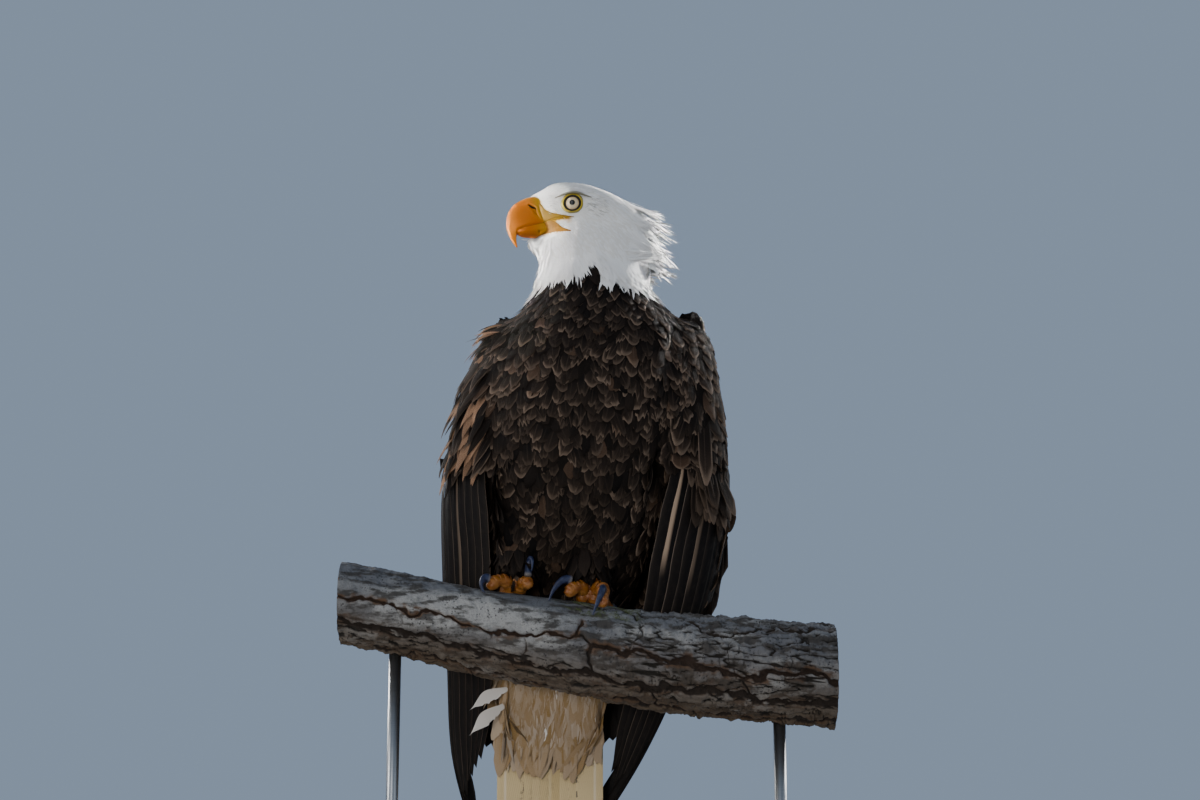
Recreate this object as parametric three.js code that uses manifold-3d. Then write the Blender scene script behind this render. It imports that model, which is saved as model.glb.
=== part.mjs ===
// A bald eagle, life size, gripping a cut length of limb that two rods hold above a flat display base.
// Millimetres, +Z up. The origin is the centre of the base's underside. The eagle faces -Y, its left side
// is +X, and its head is turned to its own right, so that the bill points to -X.
// Feathered parts are solid out to the tips of their feathers. Neighbours keep a thin gap all round.

import * as THREE from "three";
import { LoftGeometry } from "three/addons/geometries/LoftGeometry.js";
import { mergeVertices } from "three/addons/utils/BufferGeometryUtils.js";
import Module from "manifold-3d";

const wasm = await Module();
wasm.setup();

// ---- Driving dimensions ----------------------------------------------------------------------------------

const GAP = 0.4; // clearance between neighbouring pieces
const FINENESS = 0.15; // facets closer than this to a simpler face are joined to it
const SOFT_FINENESS = 0.4; // the same for the large feathered bodies, whose neighbours are further off

const BASE_LENGTH = 450;
const BASE_DEPTH = 300;
const BASE_THICK = 22;
const BASE_CORNER = 24; // radius in plan
const BASE_EDGE = 2.5; // bevel round the top and bottom
const ROD_RADIUS = 6;
const ROD_OUT = 186; // from the middle to each rod
const ROD_IN_PERCH = 24; // how far a rod enters the limb

const PERCH_Y = -15; // the limb's line, in front of the base's middle, so that the bird's weight is over it
const PERCH_HALF = 240; // half the cut length

const HEAD_Y = -8; // the head's own middle plane, in front of the limb's line
const EYE_RADIUS = 10.5;
const EYE_X = -14.9;
const EYE_Z = 850.4;
const EYE_OUT = 24.8; // from the head's middle plane to an eye's centre

const TAIL_X = -37;
const TAIL_HALF = 53;
const TAIL_TOP = 412;
const TAIL_TIP = 140;
const TAIL_PLUMES = 10; // feather tips along the tail's end

// ---- Shared tools ----------------------------------------------------------------------------------------

const vec = (x, y, z) => new THREE.Vector3(x, y, z);
const lerp = THREE.MathUtils.lerp;
const smoothstep = (x, low, high) => THREE.MathUtils.smoothstep(x, low, high);
const clamp = THREE.MathUtils.clamp;

// One named size, read smoothly from stations sorted by their place `at`.
function read(stations, name, at) {
  const last = stations.length - 1;
  const x = clamp(at, stations[0].at, stations[last].at);
  let i = 0;
  while (i < last - 1 && x > stations[i + 1].at) i++;
  const slope = (k) => {
    const a = stations[Math.max(k - 1, 0)];
    const b = stations[Math.min(k + 1, last)];
    return (b[name] - a[name]) / (b.at - a.at);
  };
  const span = stations[i + 1].at - stations[i].at;
  const t = (x - stations[i].at) / span;
  const u = 1 - t;
  return (
    stations[i][name] * u * u * (1 + 2 * t) +
    stations[i + 1][name] * t * t * (1 + 2 * u) +
    span * t * u * (slope(i) * u - slope(i + 1) * t)
  );
}

const rounded = (v, power) => Math.sign(v) * Math.abs(v) ** (2 / power);

// A manifold-3d solid from a closed geometry, with its faces pointing out.
function solid(geometry) {
  const bare = new THREE.BufferGeometry().copy(geometry);
  bare.deleteAttribute("normal");
  bare.deleteAttribute("uv");
  const merged = mergeVertices(bare, 1e-4);
  const position = merged.attributes.position;
  const triVerts = [];
  for (let i = 0; i < merged.index.count; i += 3) {
    const [a, b, c] = [0, 1, 2].map((k) => merged.index.getX(i + k));
    if (a !== b && b !== c && c !== a) triVerts.push(a, b, c);
  }
  const make = (tris) =>
    new wasm.Manifold(
      new wasm.Mesh({
        numProp: 3,
        vertProperties: new Float32Array(position.array),
        triVerts: new Uint32Array(tris),
      }),
    );
  const made = make(triVerts);
  return made.volume() > 0 ? made : make(triVerts.reverse());
}

// A solid lofted through rings with the same number of points, all turned so that its wall faces out.
function loft(rings) {
  const middle = (ring) => ring.reduce((sum, p) => sum.add(p), vec(0, 0, 0)).divideScalar(ring.length);
  const start = middle(rings[0]);
  const turn = vec(0, 0, 0);
  rings[0].forEach((p, i, ring) => {
    const next = ring[(i + 1) % ring.length];
    turn.add(p.clone().sub(start).cross(next.clone().sub(start)));
  });
  const ahead = middle(rings[1]).sub(start);
  const ordered = turn.dot(ahead) > 0 ? rings : rings.map((ring) => ring.slice().reverse());
  return solid(new LoftGeometry(ordered, { capStart: true, capEnd: true }));
}

// A solid sheet between two grids of points with the same rows and columns.
function sheet(front, back) {
  const rows = front.length;
  const columns = front[0].length;
  const id = (side, i, k) => (side * rows + i) * columns + k;
  const index = [];
  const quad = (a, b, c, d) => index.push(a, b, c, a, c, d);
  const [bottom, end] = [rows - 1, columns - 1];
  for (let i = 0; i < bottom; i++) {
    for (let k = 0; k < end; k++) {
      quad(id(0, i, k), id(0, i + 1, k), id(0, i + 1, k + 1), id(0, i, k + 1));
      quad(id(1, i, k), id(1, i, k + 1), id(1, i + 1, k + 1), id(1, i + 1, k));
    }
    quad(id(0, i, 0), id(1, i, 0), id(1, i + 1, 0), id(0, i + 1, 0));
    quad(id(0, i, end), id(0, i + 1, end), id(1, i + 1, end), id(1, i, end));
  }
  for (let k = 0; k < end; k++) {
    quad(id(0, 0, k), id(0, 0, k + 1), id(1, 0, k + 1), id(1, 0, k));
    quad(id(0, bottom, k), id(1, bottom, k), id(1, bottom, k + 1), id(0, bottom, k + 1));
  }
  const geometry = new THREE.BufferGeometry();
  geometry.setFromPoints([...front.flat(), ...back.flat()]);
  geometry.setIndex(index);
  return solid(geometry);
}

// A tube of elliptical section along points, each {at: Vector3, wide, tall}. `side` is its widthwise direction.
// `grow` swells it on every side and at both ends.
function tube(points, side, sides, grow = 0) {
  return loft(
    points.map((p, i) => {
      const before = points[Math.max(i - 1, 0)].at;
      const after = points[Math.min(i + 1, points.length - 1)].at;
      const along = after.clone().sub(before).normalize();
      const end = i === 0 ? -1 : i === points.length - 1 ? 1 : 0;
      const across = side.clone().addScaledVector(along, -side.dot(along)).normalize();
      const up = along.clone().cross(across);
      return Array.from({ length: sides }, (_, k) => {
        const a = (k / sides) * 2 * Math.PI;
        return p.at
          .clone()
          .addScaledVector(along, end * grow)
          .addScaledVector(across, (p.wide + grow) * Math.cos(a))
          .addScaledVector(up, ((p.tall ?? p.wide) + grow) * Math.sin(a));
      });
    }),
  );
}

// A half space as a large block: everything on the side of `point` that `normal` points to.
function halfSpace(point, normal) {
  const size = 2000;
  const block = new THREE.BoxGeometry(size, size, size);
  block.translate(0, 0, size / 2);
  const turn = new THREE.Quaternion().setFromUnitVectors(vec(0, 0, 1), normal.clone().normalize());
  block.applyQuaternion(turn);
  block.translate(point.x, point.y, point.z);
  return solid(block);
}

// Two pieces of one solid on either side of a plane, with the gap between them: [side of the normal, other side].
function parted(whole, point, normal) {
  const n = normal.clone().normalize();
  const above = point.clone().addScaledVector(n, GAP / 2);
  const below = point.clone().addScaledVector(n, -GAP / 2);
  return [whole.intersect(halfSpace(above, n)), whole.intersect(halfSpace(below, n.clone().negate()))];
}

// The largest body of a solid: a cut can leave slivers behind.
function largest(whole) {
  return whole.decompose().reduce((a, b) => (a.volume() > b.volume() ? a : b));
}

const finishes = {
  white_feather: { color: 0xe9e7e1, roughness: 0.85, metalness: 0 },
  brown_feather: { color: 0x2c211b, roughness: 0.8, metalness: 0 },
  flight_feather: { color: 0x1f1a18, roughness: 0.7, metalness: 0 },
  bill: { color: 0xe8981c, roughness: 0.4, metalness: 0 },
  cere: { color: 0xe6b31f, roughness: 0.5, metalness: 0 },
  eye: { color: 0xe8d9b0, roughness: 0.1, metalness: 0 },
  foot_skin: { color: 0xe5911a, roughness: 0.55, metalness: 0 },
  claw: { color: 0x1c1e26, roughness: 0.35, metalness: 0 },
  bark: { color: 0x8c8880, roughness: 0.95, metalness: 0 },
  stand_wood: { color: 0x3b2a1f, roughness: 0.5, metalness: 0 },
  stand_steel: { color: 0x3a3b3d, roughness: 0.4, metalness: 1 },
};
const materials = Object.fromEntries(
  Object.entries(finishes).map(([name, finish]) => [name, new THREE.MeshStandardMaterial(finish)]),
);

const eagle = new THREE.Group(); // the bird and its perch, in the perch's own frame
eagle.position.set(0, PERCH_Y, 0);
const stand = new THREE.Group();
const model = new THREE.Group();
model.add(eagle, stand);

// A named mesh from a solid, in a group.
function place(name, whole, material, group = eagle, fineness = FINENESS) {
  const made = whole.simplify(fineness).getMesh();
  const geometry = new THREE.BufferGeometry();
  const points = new Float32Array(made.numVert * 3);
  for (let i = 0; i < made.numVert; i++)
    points.set(made.vertProperties.subarray(i * made.numProp, i * made.numProp + 3), i * 3);
  geometry.setAttribute("position", new THREE.BufferAttribute(points, 3));
  geometry.setIndex(new THREE.BufferAttribute(made.triVerts, 1));
  geometry.computeVertexNormals();
  const mesh = new THREE.Mesh(geometry, materials[material]);
  mesh.name = name;
  group.add(mesh);
}

// ---- Perch: a cut length of limb, thicker and lower towards +X ---------------------------------------------

// at: x along the limb; z: height of its line; r: radius.
const limb = [
  { at: -240, z: 447, r: 39.5 },
  { at: -137, z: 427, r: 41.5 },
  { at: -60, z: 412.5, r: 43.5 },
  { at: 13, z: 398.5, r: 45.5 },
  { at: 80, z: 388.5, r: 48 },
  { at: 150, z: 383, r: 49.5 },
  { at: 240, z: 377, r: 49 },
];

const PERCH_SIDES = 16;
const PERCH_STEPS = 10;

const perchLine = (x) => read(limb, "z", x);
const perchRadius = (x, a) => read(limb, "r", x) + 1.2 * Math.sin(3 * a + x / 47) + 0.9 * Math.sin(5 * a - x / 29);

// A point by the limb: `a` turns from the top towards the front, `lift` is the height above the bark.
function onPerch(x, a, lift) {
  const r = perchRadius(x, a) + lift;
  return vec(x, -r * Math.sin(a), perchLine(x) + r * Math.cos(a));
}

const perchLoft = (grow) =>
  loft(
    Array.from({ length: PERCH_STEPS + 1 }, (_, i) => {
      const x = lerp(-PERCH_HALF, PERCH_HALF, i / PERCH_STEPS);
      return Array.from({ length: PERCH_SIDES }, (_, k) => onPerch(x, (k / PERCH_SIDES) * 2 * Math.PI, grow));
    }),
  );

// ---- Stand: a flat base and two rods that enter the limb from below -----------------------------------------

function roundedPlan(length, depth, corner) {
  const [x, y] = [length / 2, depth / 2];
  const plan = new THREE.Shape();
  plan.moveTo(-x + corner, -y);
  plan.absarc(x - corner, -y + corner, corner, -Math.PI / 2, 0);
  plan.absarc(x - corner, y - corner, corner, 0, Math.PI / 2);
  plan.absarc(-x + corner, y - corner, corner, Math.PI / 2, Math.PI);
  plan.absarc(-x + corner, -y + corner, corner, Math.PI, 1.5 * Math.PI);
  return plan;
}

const baseGeometry = new THREE.ExtrudeGeometry(
  roundedPlan(BASE_LENGTH - 2 * BASE_EDGE, BASE_DEPTH - 2 * BASE_EDGE, BASE_CORNER - BASE_EDGE),
  { depth: BASE_THICK - 2 * BASE_EDGE, bevelThickness: BASE_EDGE, bevelSize: BASE_EDGE, bevelSegments: 1, curveSegments: 4 },
);
baseGeometry.translate(0, 0, BASE_EDGE);
place("stand_base", solid(baseGeometry), "stand_wood", stand);

function rod(radius, bottom, top, sides = 16) {
  const cylinder = new THREE.CylinderGeometry(radius, radius, top - bottom, sides);
  cylinder.rotateX(Math.PI / 2);
  cylinder.translate(0, 0, (top + bottom) / 2);
  return solid(cylinder);
}

let perch = perchLoft(0);
for (const [name, x] of [
  ["stand_rod_left", ROD_OUT],
  ["stand_rod_right", -ROD_OUT],
]) {
  const top = onPerch(x, Math.PI, 0).z + ROD_IN_PERCH;
  const bottom = BASE_THICK + GAP;
  place(name, rod(ROD_RADIUS, bottom, top).translate(x, PERCH_Y, 0), "stand_steel", stand);
  perch = perch.subtract(rod(ROD_RADIUS + GAP, bottom, top + GAP).translate(x, 0, 0));
}
place("perch", perch, "bark");
const perchRoom = perchLoft(1);

// ---- Trunk and neck: horizontal slices from the vent to inside the head -------------------------------------

const BODY_SIDES = 20;
const BODY_STEP = 25;
const NECK_CUT = 768; // where the neck meets the shoulders

// at: height; x, y: middle; half: half the width; front, back: depth each way from the middle.
const body = [
  { at: 404, x: -36, y: 90, half: 44, front: 26, back: 15 },
  { at: 430, x: -35, y: 82, half: 68, front: 32, back: 26 },
  { at: 455, x: -34, y: 68, half: 82, front: 38, back: 42 },
  { at: 490, x: -31, y: 46, half: 95, front: 62, back: 58 },
  { at: 540, x: -24, y: 26, half: 105, front: 84, back: 68 },
  { at: 600, x: -12, y: 10, half: 110, front: 92, back: 76 },
  { at: 660, x: 0, y: 2, half: 112, front: 91, back: 77 },
  { at: 710, x: 7, y: 0, half: 106, front: 82, back: 70 },
  { at: 742, x: 8.5, y: -2, half: 80.5, front: 66, back: 59 },
  { at: 765, x: 5.5, y: -4, half: 61, front: 54, back: 52 },
  { at: 790, x: 7, y: -6, half: 57, front: 46, back: 46 },
  { at: 815, x: 10, y: -8, half: 56, front: 40, back: 42 },
  { at: 838, x: 14, y: -8, half: 46, front: 33, back: 34 },
];

function bodySlice(z, grow) {
  const s = Object.fromEntries(["x", "y", "half", "front", "back"].map((name) => [name, read(body, name, z)]));
  return Array.from({ length: BODY_SIDES }, (_, k) => {
    const a = (k / BODY_SIDES) * 2 * Math.PI;
    const depth = Math.sin(a) < 0 ? s.front : s.back;
    return vec(
      s.x + (s.half + grow) * rounded(Math.cos(a), 2.2),
      s.y + (depth + grow) * rounded(Math.sin(a), 2.2),
      z,
    );
  });
}

function bodyLoft(grow = 0) {
  const [low, high] = [body[0].at, body[body.length - 1].at];
  const steps = Math.round((high - low) / BODY_STEP);
  const heights = Array.from({ length: steps + 1 }, (_, i) => lerp(low, high, i / steps));
  return loft(heights.map((z) => bodySlice(z, grow)));
}

// ---- Head: sections across the line from the bill to the nape -----------------------------------------------

const HEAD_SIDES = 16;
const HEAD_STEPS = 11;

// at: x along the head; mid: height of the section's middle; up, down: heights from it; half: half the width.
const skull = [
  { at: -47, mid: 848, up: 24.5, down: 20, half: 16 },
  { at: -40, mid: 848, up: 29.5, down: 27, half: 22 },
  { at: -28, mid: 848, up: 31.8, down: 36, half: 29 },
  { at: -14, mid: 848, up: 31.4, down: 44, half: 33.5 },
  { at: 2, mid: 847, up: 30, down: 50, half: 37 },
  { at: 20, mid: 843, up: 27.8, down: 53, half: 38.5 },
  { at: 38, mid: 836, up: 26.8, down: 53, half: 36.5 },
  { at: 52, mid: 829, up: 26.5, down: 50, half: 31 },
  { at: 61, mid: 822, up: 23, down: 40, half: 23 },
  { at: 67, mid: 816, up: 12, down: 22, half: 12 },
];

const headLoft = loft(
  Array.from({ length: HEAD_STEPS + 1 }, (_, i) => {
    const x = lerp(skull[0].at, skull[skull.length - 1].at, i / HEAD_STEPS);
    const [mid, up, down, half] = ["mid", "up", "down", "half"].map((name) => read(skull, name, x));
    return Array.from({ length: HEAD_SIDES }, (_, k) => {
      const a = (k / HEAD_SIDES) * 2 * Math.PI;
      const tall = Math.sin(a) > 0 ? up : down;
      return vec(x, HEAD_Y + half * rounded(Math.cos(a), 2.3), mid + tall * rounded(Math.sin(a), 2.3));
    });
  }),
);

// A brow over each eye, from the bill's root to behind the eye.
const brows = [-1, 1].map((side) =>
  tube(
    [
      { at: vec(-38, HEAD_Y + side * 19, 859), wide: 2, tall: 1.6 },
      { at: vec(-27, HEAD_Y + side * 27, 861.5), wide: 4.5, tall: 3 },
      { at: vec(-15, HEAD_Y + side * 31.5, 863), wide: 5, tall: 3.2 },
      { at: vec(-2, HEAD_Y + side * 33, 861), wide: 3, tall: 2 },
    ],
    vec(0, 1, 0),
    6,
  ),
);

// The forehead's short feathers, over the bill's root.
const forehead = tube(
  [
    { at: vec(-40, HEAD_Y, 864), wide: 13, tall: 12 },
    { at: vec(-50, HEAD_Y, 864), wide: 9, tall: 7.5 },
    { at: vec(-57, HEAD_Y, 864.5), wide: 4.5, tall: 3.4 },
    { at: vec(-61, HEAD_Y, 863.4), wide: 1.2, tall: 0.8 },
  ],
  vec(0, 1, 0),
  8,
);

// The chin's feathers, under the bill's lower half.
const chin = tube(
  [
    { at: vec(-30, HEAD_Y, 812), wide: 20, tall: 15 },
    { at: vec(-44, HEAD_Y, 811), wide: 15, tall: 12 },
    { at: vec(-53, HEAD_Y, 813), wide: 9, tall: 7.5 },
    { at: vec(-61, HEAD_Y, 820), wide: 3, tall: 2 },
  ],
  vec(0, 1, 0),
  8,
);

// Pointed locks that stand off the nape: each root height, then its tip.
const LOCK_ROOT_X = 40;
const locks = [
  { root: 852, x: 77, z: 848, y: 4 },
  { root: 844, x: 80, z: 836, y: -9 },
  { root: 834, x: 91, z: 825, y: 2 },
  { root: 824, x: 83, z: 808, y: -11 },
  { root: 812, x: 90, z: 786, y: -2 },
  { root: 806, x: 82, z: 780, y: -14 },
].map((lock) =>
  tube(
    [
      { at: vec(LOCK_ROOT_X, HEAD_Y + lock.y * 0.6, lock.root), wide: 9, tall: 7 },
      { at: vec(lerp(LOCK_ROOT_X, lock.x, 0.6), HEAD_Y + lock.y, lerp(lock.root, lock.z, 0.45)), wide: 5.5, tall: 3.6 },
      { at: vec(lock.x, HEAD_Y + lock.y, lock.z), wide: 0.9, tall: 0.7 },
    ],
    vec(0, 1, 0),
    5,
  ),
);

// ---- Bill: a hooked upper half, the cere at its root, and the lower half -------------------------------------

const BILL_SIDES = 14;

// at: share of the way from root to tip; topX, topZ: its upper edge; lowX, lowZ: its lower edge; wide: half its width.
const upperBill = [
  { at: 0, topX: -36, topZ: 865.2, lowX: -34, lowZ: 837.5, wide: 15.5 },
  { at: 0.2, topX: -50.5, topZ: 866, lowX: -48, lowZ: 835, wide: 13.6 },
  { at: 0.36, topX: -62, topZ: 863.3, lowX: -57.5, lowZ: 833.2, wide: 11.6 },
  { at: 0.52, topX: -73.5, topZ: 857.3, lowX: -65.5, lowZ: 830.8, wide: 9.4 },
  { at: 0.66, topX: -80.3, topZ: 848, lowX: -69.8, lowZ: 829.4, wide: 7.2 },
  { at: 0.78, topX: -82.2, topZ: 837.3, lowX: -71.6, lowZ: 825.2, wide: 5.2 },
  { at: 0.88, topX: -80.4, topZ: 826.5, lowX: -72, lowZ: 820.6, wide: 3.6 },
  { at: 0.95, topX: -76.4, topZ: 817.6, lowX: -71.4, lowZ: 815, wide: 2.1 },
  { at: 1, topX: -72, topZ: 811, lowX: -70.6, lowZ: 811.4, wide: 0.7 },
];
const lowerBill = [
  { at: 0, topX: -32, topZ: 838.5, lowX: -32, lowZ: 826.6, wide: 13.6 },
  { at: 0.35, topX: -46, topZ: 836.4, lowX: -46, lowZ: 826, wide: 11.4 },
  { at: 0.65, topX: -57.5, topZ: 834, lowX: -57, lowZ: 823.8, wide: 8.8 },
  { at: 0.87, topX: -66, topZ: 831.4, lowX: -66.3, lowZ: 823.6, wide: 5.8 },
  { at: 1, topX: -69.8, topZ: 829, lowX: -69.8, lowZ: 825.2, wide: 2.8 },
];

// Egg-shaped sections, narrower towards the ridge by `ridge`, along a bill's half.
function billHalf(stations, steps, ridge, grow = 0) {
  return loft(
    Array.from({ length: steps + 1 }, (_, i) => {
      const [topX, topZ, lowX, lowZ, wide] = ["topX", "topZ", "lowX", "lowZ", "wide"].map((name) =>
        read(stations, name, i / steps),
      );
      const middle = vec((topX + lowX) / 2, HEAD_Y, (topZ + lowZ) / 2);
      const rise = vec(topX - lowX, 0, topZ - lowZ).multiplyScalar(0.5);
      rise.addScaledVector(rise.clone().normalize(), grow);
      return Array.from({ length: BILL_SIDES }, (_, k) => {
        const a = ((k + 0.5) / BILL_SIDES) * 2 * Math.PI;
        const height = rounded(Math.sin(a), 2.3);
        return middle
          .clone()
          .addScaledVector(rise, height)
          .add(vec(0, (wide + grow) * Math.cos(a) * (1 - ridge * height), 0));
      });
    }),
  );
}

const upper = billHalf(upperBill, 14, 0.22);
const [cereWhole, upperTip] = parted(upper, vec(-55.5, HEAD_Y, 848.5), vec(1, 0, 0.69));
const upperRoom = billHalf(upperBill, 14, 0.22, GAP);
const lower = billHalf(lowerBill, 8, -0.15).subtract(upperRoom);
const lowerRoom = billHalf(lowerBill, 8, -0.15, GAP);
place("bill_upper", largest(upperTip), "bill");
place("cere", largest(cereWhole), "cere");
place("bill_lower", largest(lower), "bill");

// ---- Eyes ---------------------------------------------------------------------------------------------------

function ball(centre, radius, across = 12, down = 7) {
  const sphere = new THREE.SphereGeometry(radius, across, down);
  sphere.rotateX(Math.PI / 2);
  sphere.rotateX(Math.PI / 2);
  sphere.translate(centre.x, centre.y, centre.z);
  return solid(sphere);
}

const eyeCentres = [-1, 1].map((side) => vec(EYE_X, HEAD_Y + side * EYE_OUT, EYE_Z));
eyeCentres.forEach((centre, i) => place(["eye_left", "eye_right"][i], ball(centre, EYE_RADIUS), "eye"));

// ---- Wings: folded, each an outer sheet over its flight feathers ----------------------------------------------

// at: height; f: front edge, s: outermost line, r: rear edge, each an x and a y.
const leftWing = [
  { at: 215, fx: -20, fy: 124, sx: -4, sy: 128, rx: -38, ry: 138 },
  { at: 310, fx: 18, fy: 112, sx: 56, sy: 117, rx: -34, ry: 134 },
  { at: 400, fx: 44, fy: 62, sx: 100, sy: 90, rx: -18, ry: 124 },
  { at: 480, fx: 61, fy: 2, sx: 130, sy: 55, rx: -4, ry: 116 },
  { at: 570, fx: 80, fy: -42, sx: 142, sy: 28, rx: 14, ry: 105 },
  { at: 650, fx: 88, fy: -58, sx: 138, sy: 12, rx: 34, ry: 90 },
  { at: 718, fx: 88, fy: -46, sx: 127, sy: 4, rx: 62, ry: 64 },
  { at: 745, fx: 102, fy: -8, sx: 113, sy: 4, rx: 100, ry: 16 },
];
const rightWing = [
  { at: 225, fx: -98, fy: 116, sx: -114, sy: 124, rx: -80, ry: 136 },
  { at: 310, fx: -95, fy: 98, sx: -137, sy: 108, rx: -68, ry: 134 },
  { at: 400, fx: -94, fy: 62, sx: -142, sy: 88, rx: -58, ry: 124 },
  { at: 480, fx: -96, fy: 8, sx: -145, sy: 55, rx: -50, ry: 116 },
  { at: 570, fx: -99, fy: -40, sx: -144, sy: 28, rx: -46, ry: 105 },
  { at: 650, fx: -93, fy: -58, sx: -130, sy: 12, rx: -40, ry: 90 },
  { at: 718, fx: -78, fy: -46, sx: -107, sy: 4, rx: -50, ry: 64 },
  { at: 742, fx: -82, fy: -8, sx: -93, sy: 4, rx: -80, ry: 16 },
];

// A point on a folded wing: t runs round it from the front edge to the rear, `depth` goes in from its face.
function onWing(wing, z, t, depth) {
  const at = (x, y) => vec(read(wing, x, z), read(wing, y, z), z);
  const [front, side, rear] = [at("fx", "fy"), at("sx", "sy"), at("rx", "ry")];
  const handle = side.clone().multiplyScalar(2).addScaledVector(front, -0.5).addScaledVector(rear, -0.5);
  const u = 1 - t;
  const point = front.clone().multiplyScalar(u * u).addScaledVector(handle, 2 * u * t).addScaledVector(rear, t * t);
  const run = handle.clone().sub(front).multiplyScalar(u).addScaledVector(rear.clone().sub(handle), t);
  const inward = vec(-run.y, run.x, 0).normalize().multiplyScalar(Math.sign(read(wing, "sx", 570)));
  return vec(point.x, point.y, z).addScaledVector(inward, depth);
}

// A sheet of a wing between two heights, each a function of t, from `outer` to `inner` depth, functions of (z, t).
// `margin` widens it at both ends, and a `bias` over 1 crowds its rows towards its top.
function wingSheet(wing, { from, to, top, bottom, outer, inner, across, down, margin = 0, bias = 1 }) {
  const ts = Array.from({ length: across + 1 }, (_, k) => lerp(from, to, k / across));
  if (margin) ts.splice(0, ts.length, from - margin, ...ts, to + margin);
  const grid = (depth) =>
    Array.from({ length: down + 1 }, (_, i) =>
      ts.map((t) => {
        const z = lerp(top(t), bottom(t), (i / down) ** bias);
        return onWing(wing, z, t, depth(z, t));
      }),
    );
  return sheet(grid(outer), grid(inner));
}

// How far a rounded feather tip falls short of its own end, 0 at its middle and 1 at its edges.
const tipArc = (share) => 1 - Math.sqrt(Math.max(0, 1 - (2 * share - 1) ** 2));
const tips = (t, from, to, count, fall) => {
  const place = clamp((t - from) / (to - from), 0, 0.9999) * count;
  return fall * tipArc(place - Math.floor(place));
};

const COVERT_THICK = 15;
const QUILL_THICK = 4.6;

// Places a wing's three sheets and returns the room they take from the body and from the tail's sheath.
// The coverts end lower at the rear, from `fallFrom` to `fallTo` of the way round.
function wing(name, stations, tipHeight, fallFrom, fallTo) {
  const crown = stations[stations.length - 1].at;
  const covertEnd = (t) => 586 - 138 * smoothstep(t, fallFrom, fallTo);
  const covertThick = (z) => COVERT_THICK * (1 - smoothstep(z, crown - 40, crown + 12)) + 1.5;
  const sheets = {
    coverts: {
      from: 0,
      to: 1,
      across: 10,
      down: 6,
      top: () => crown,
      bottom: covertEnd,
      outer: (z) => 2.2 * smoothstep(z, crown - 16, crown),
      inner: covertThick,
    },
    secondaries: {
      from: 0.43,
      to: 1,
      across: 12,
      down: 3,
      top: (t) => covertEnd(t) + 14,
      bottom: (t) => lerp(332, 296, t) + tips(t, 0.43, 1, 4, 16),
      outer: () => 0,
      inner: () => QUILL_THICK,
    },
    primaries: {
      from: 0,
      to: 0.7,
      across: 12,
      down: 4,
      top: (t) => covertEnd(t) + 14,
      bottom: (t) => tipHeight + 85 * Math.max(0, 1 - t / 0.7) ** 2.2 + tips(t, 0, 0.7, 4, 18),
      outer: (z, t) => (QUILL_THICK + 1.2) * smoothstep(t, 0.26, 0.4),
      inner: (z, t) => (QUILL_THICK + 1.2) * smoothstep(t, 0.26, 0.4) + QUILL_THICK,
    },
  };
  // Each sheet is cleared of the ones before it, which lie over it or above it.
  let room = perchRoom;
  for (const [part, sizes] of Object.entries(sheets)) {
    const material = part === "coverts" ? "brown_feather" : "flight_feather";
    const made = wingSheet(stations, sizes);
    place(`${name}_${part}`, largest(made.subtract(room)), material);
    const wider = {
      margin: 0.015,
      bottom: (t) => sizes.bottom(t) - 3 * GAP,
      outer: () => -14,
      inner: (z, t) => sizes.inner(z, t) + 1.5 * GAP,
    };
    room = room.add(wingSheet(stations, { ...sizes, ...wider })).add(made);
  }
  const around = { from: 0, to: 1, across: 8, margin: 0.03, outer: () => -16 };
  const body = { top: () => crown + 1.5, bottom: () => 390, down: 9, bias: 1.6, inner: (z) => covertThick(z) + 3.2 };
  const tail = { top: () => 420, bottom: () => 290, down: 3, inner: () => 2 * QUILL_THICK + 4 };
  return { body: wingSheet(stations, { ...around, ...body }), tail: wingSheet(stations, { ...around, ...tail }) };
}

const wingRooms = [wing("wing_left", leftWing, 218, 0.24, 0.62), wing("wing_right", rightWing, 228, 0.6, 0.95)];
const withoutWings = (whole, part) => wingRooms.reduce((rest, room) => rest.subtract(room[part]), whole);

// ---- Tail: a flat closed fan behind the perch, in a sheath of small white feathers -------------------------------

const TAIL_FRONT_Y = 88;
const TAIL_LEAN = 0.075; // how far it runs back for each step down
const TAIL_THICK = 7;

function tailSheet(grow) {
  const across = 20;
  const rows = 4;
  const ts = Array.from({ length: across + 1 }, (_, k) => lerp(-1, 1, k / across));
  const grid = (face) =>
    Array.from({ length: rows + 1 }, (_, i) =>
      ts.map((t) => {
        const short = 12 * t * t + tips(t, -1, 1, TAIL_PLUMES, 9);
        const z = lerp(TAIL_TOP + grow, TAIL_TIP + short - grow, i / rows);
        const half = TAIL_HALF * lerp(1, 0.8, smoothstep(z, 330, TAIL_TOP)) + grow;
        const thick = TAIL_THICK * lerp(0.55, 1, smoothstep(z, TAIL_TIP, TAIL_TOP));
        const y = TAIL_FRONT_Y + (TAIL_TOP - z) * TAIL_LEAN + 5 * t * t;
        return vec(TAIL_X + half * t, y + (face ? thick + grow : -grow), z);
      }),
    );
  return sheet(grid(0), grid(1));
}

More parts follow.
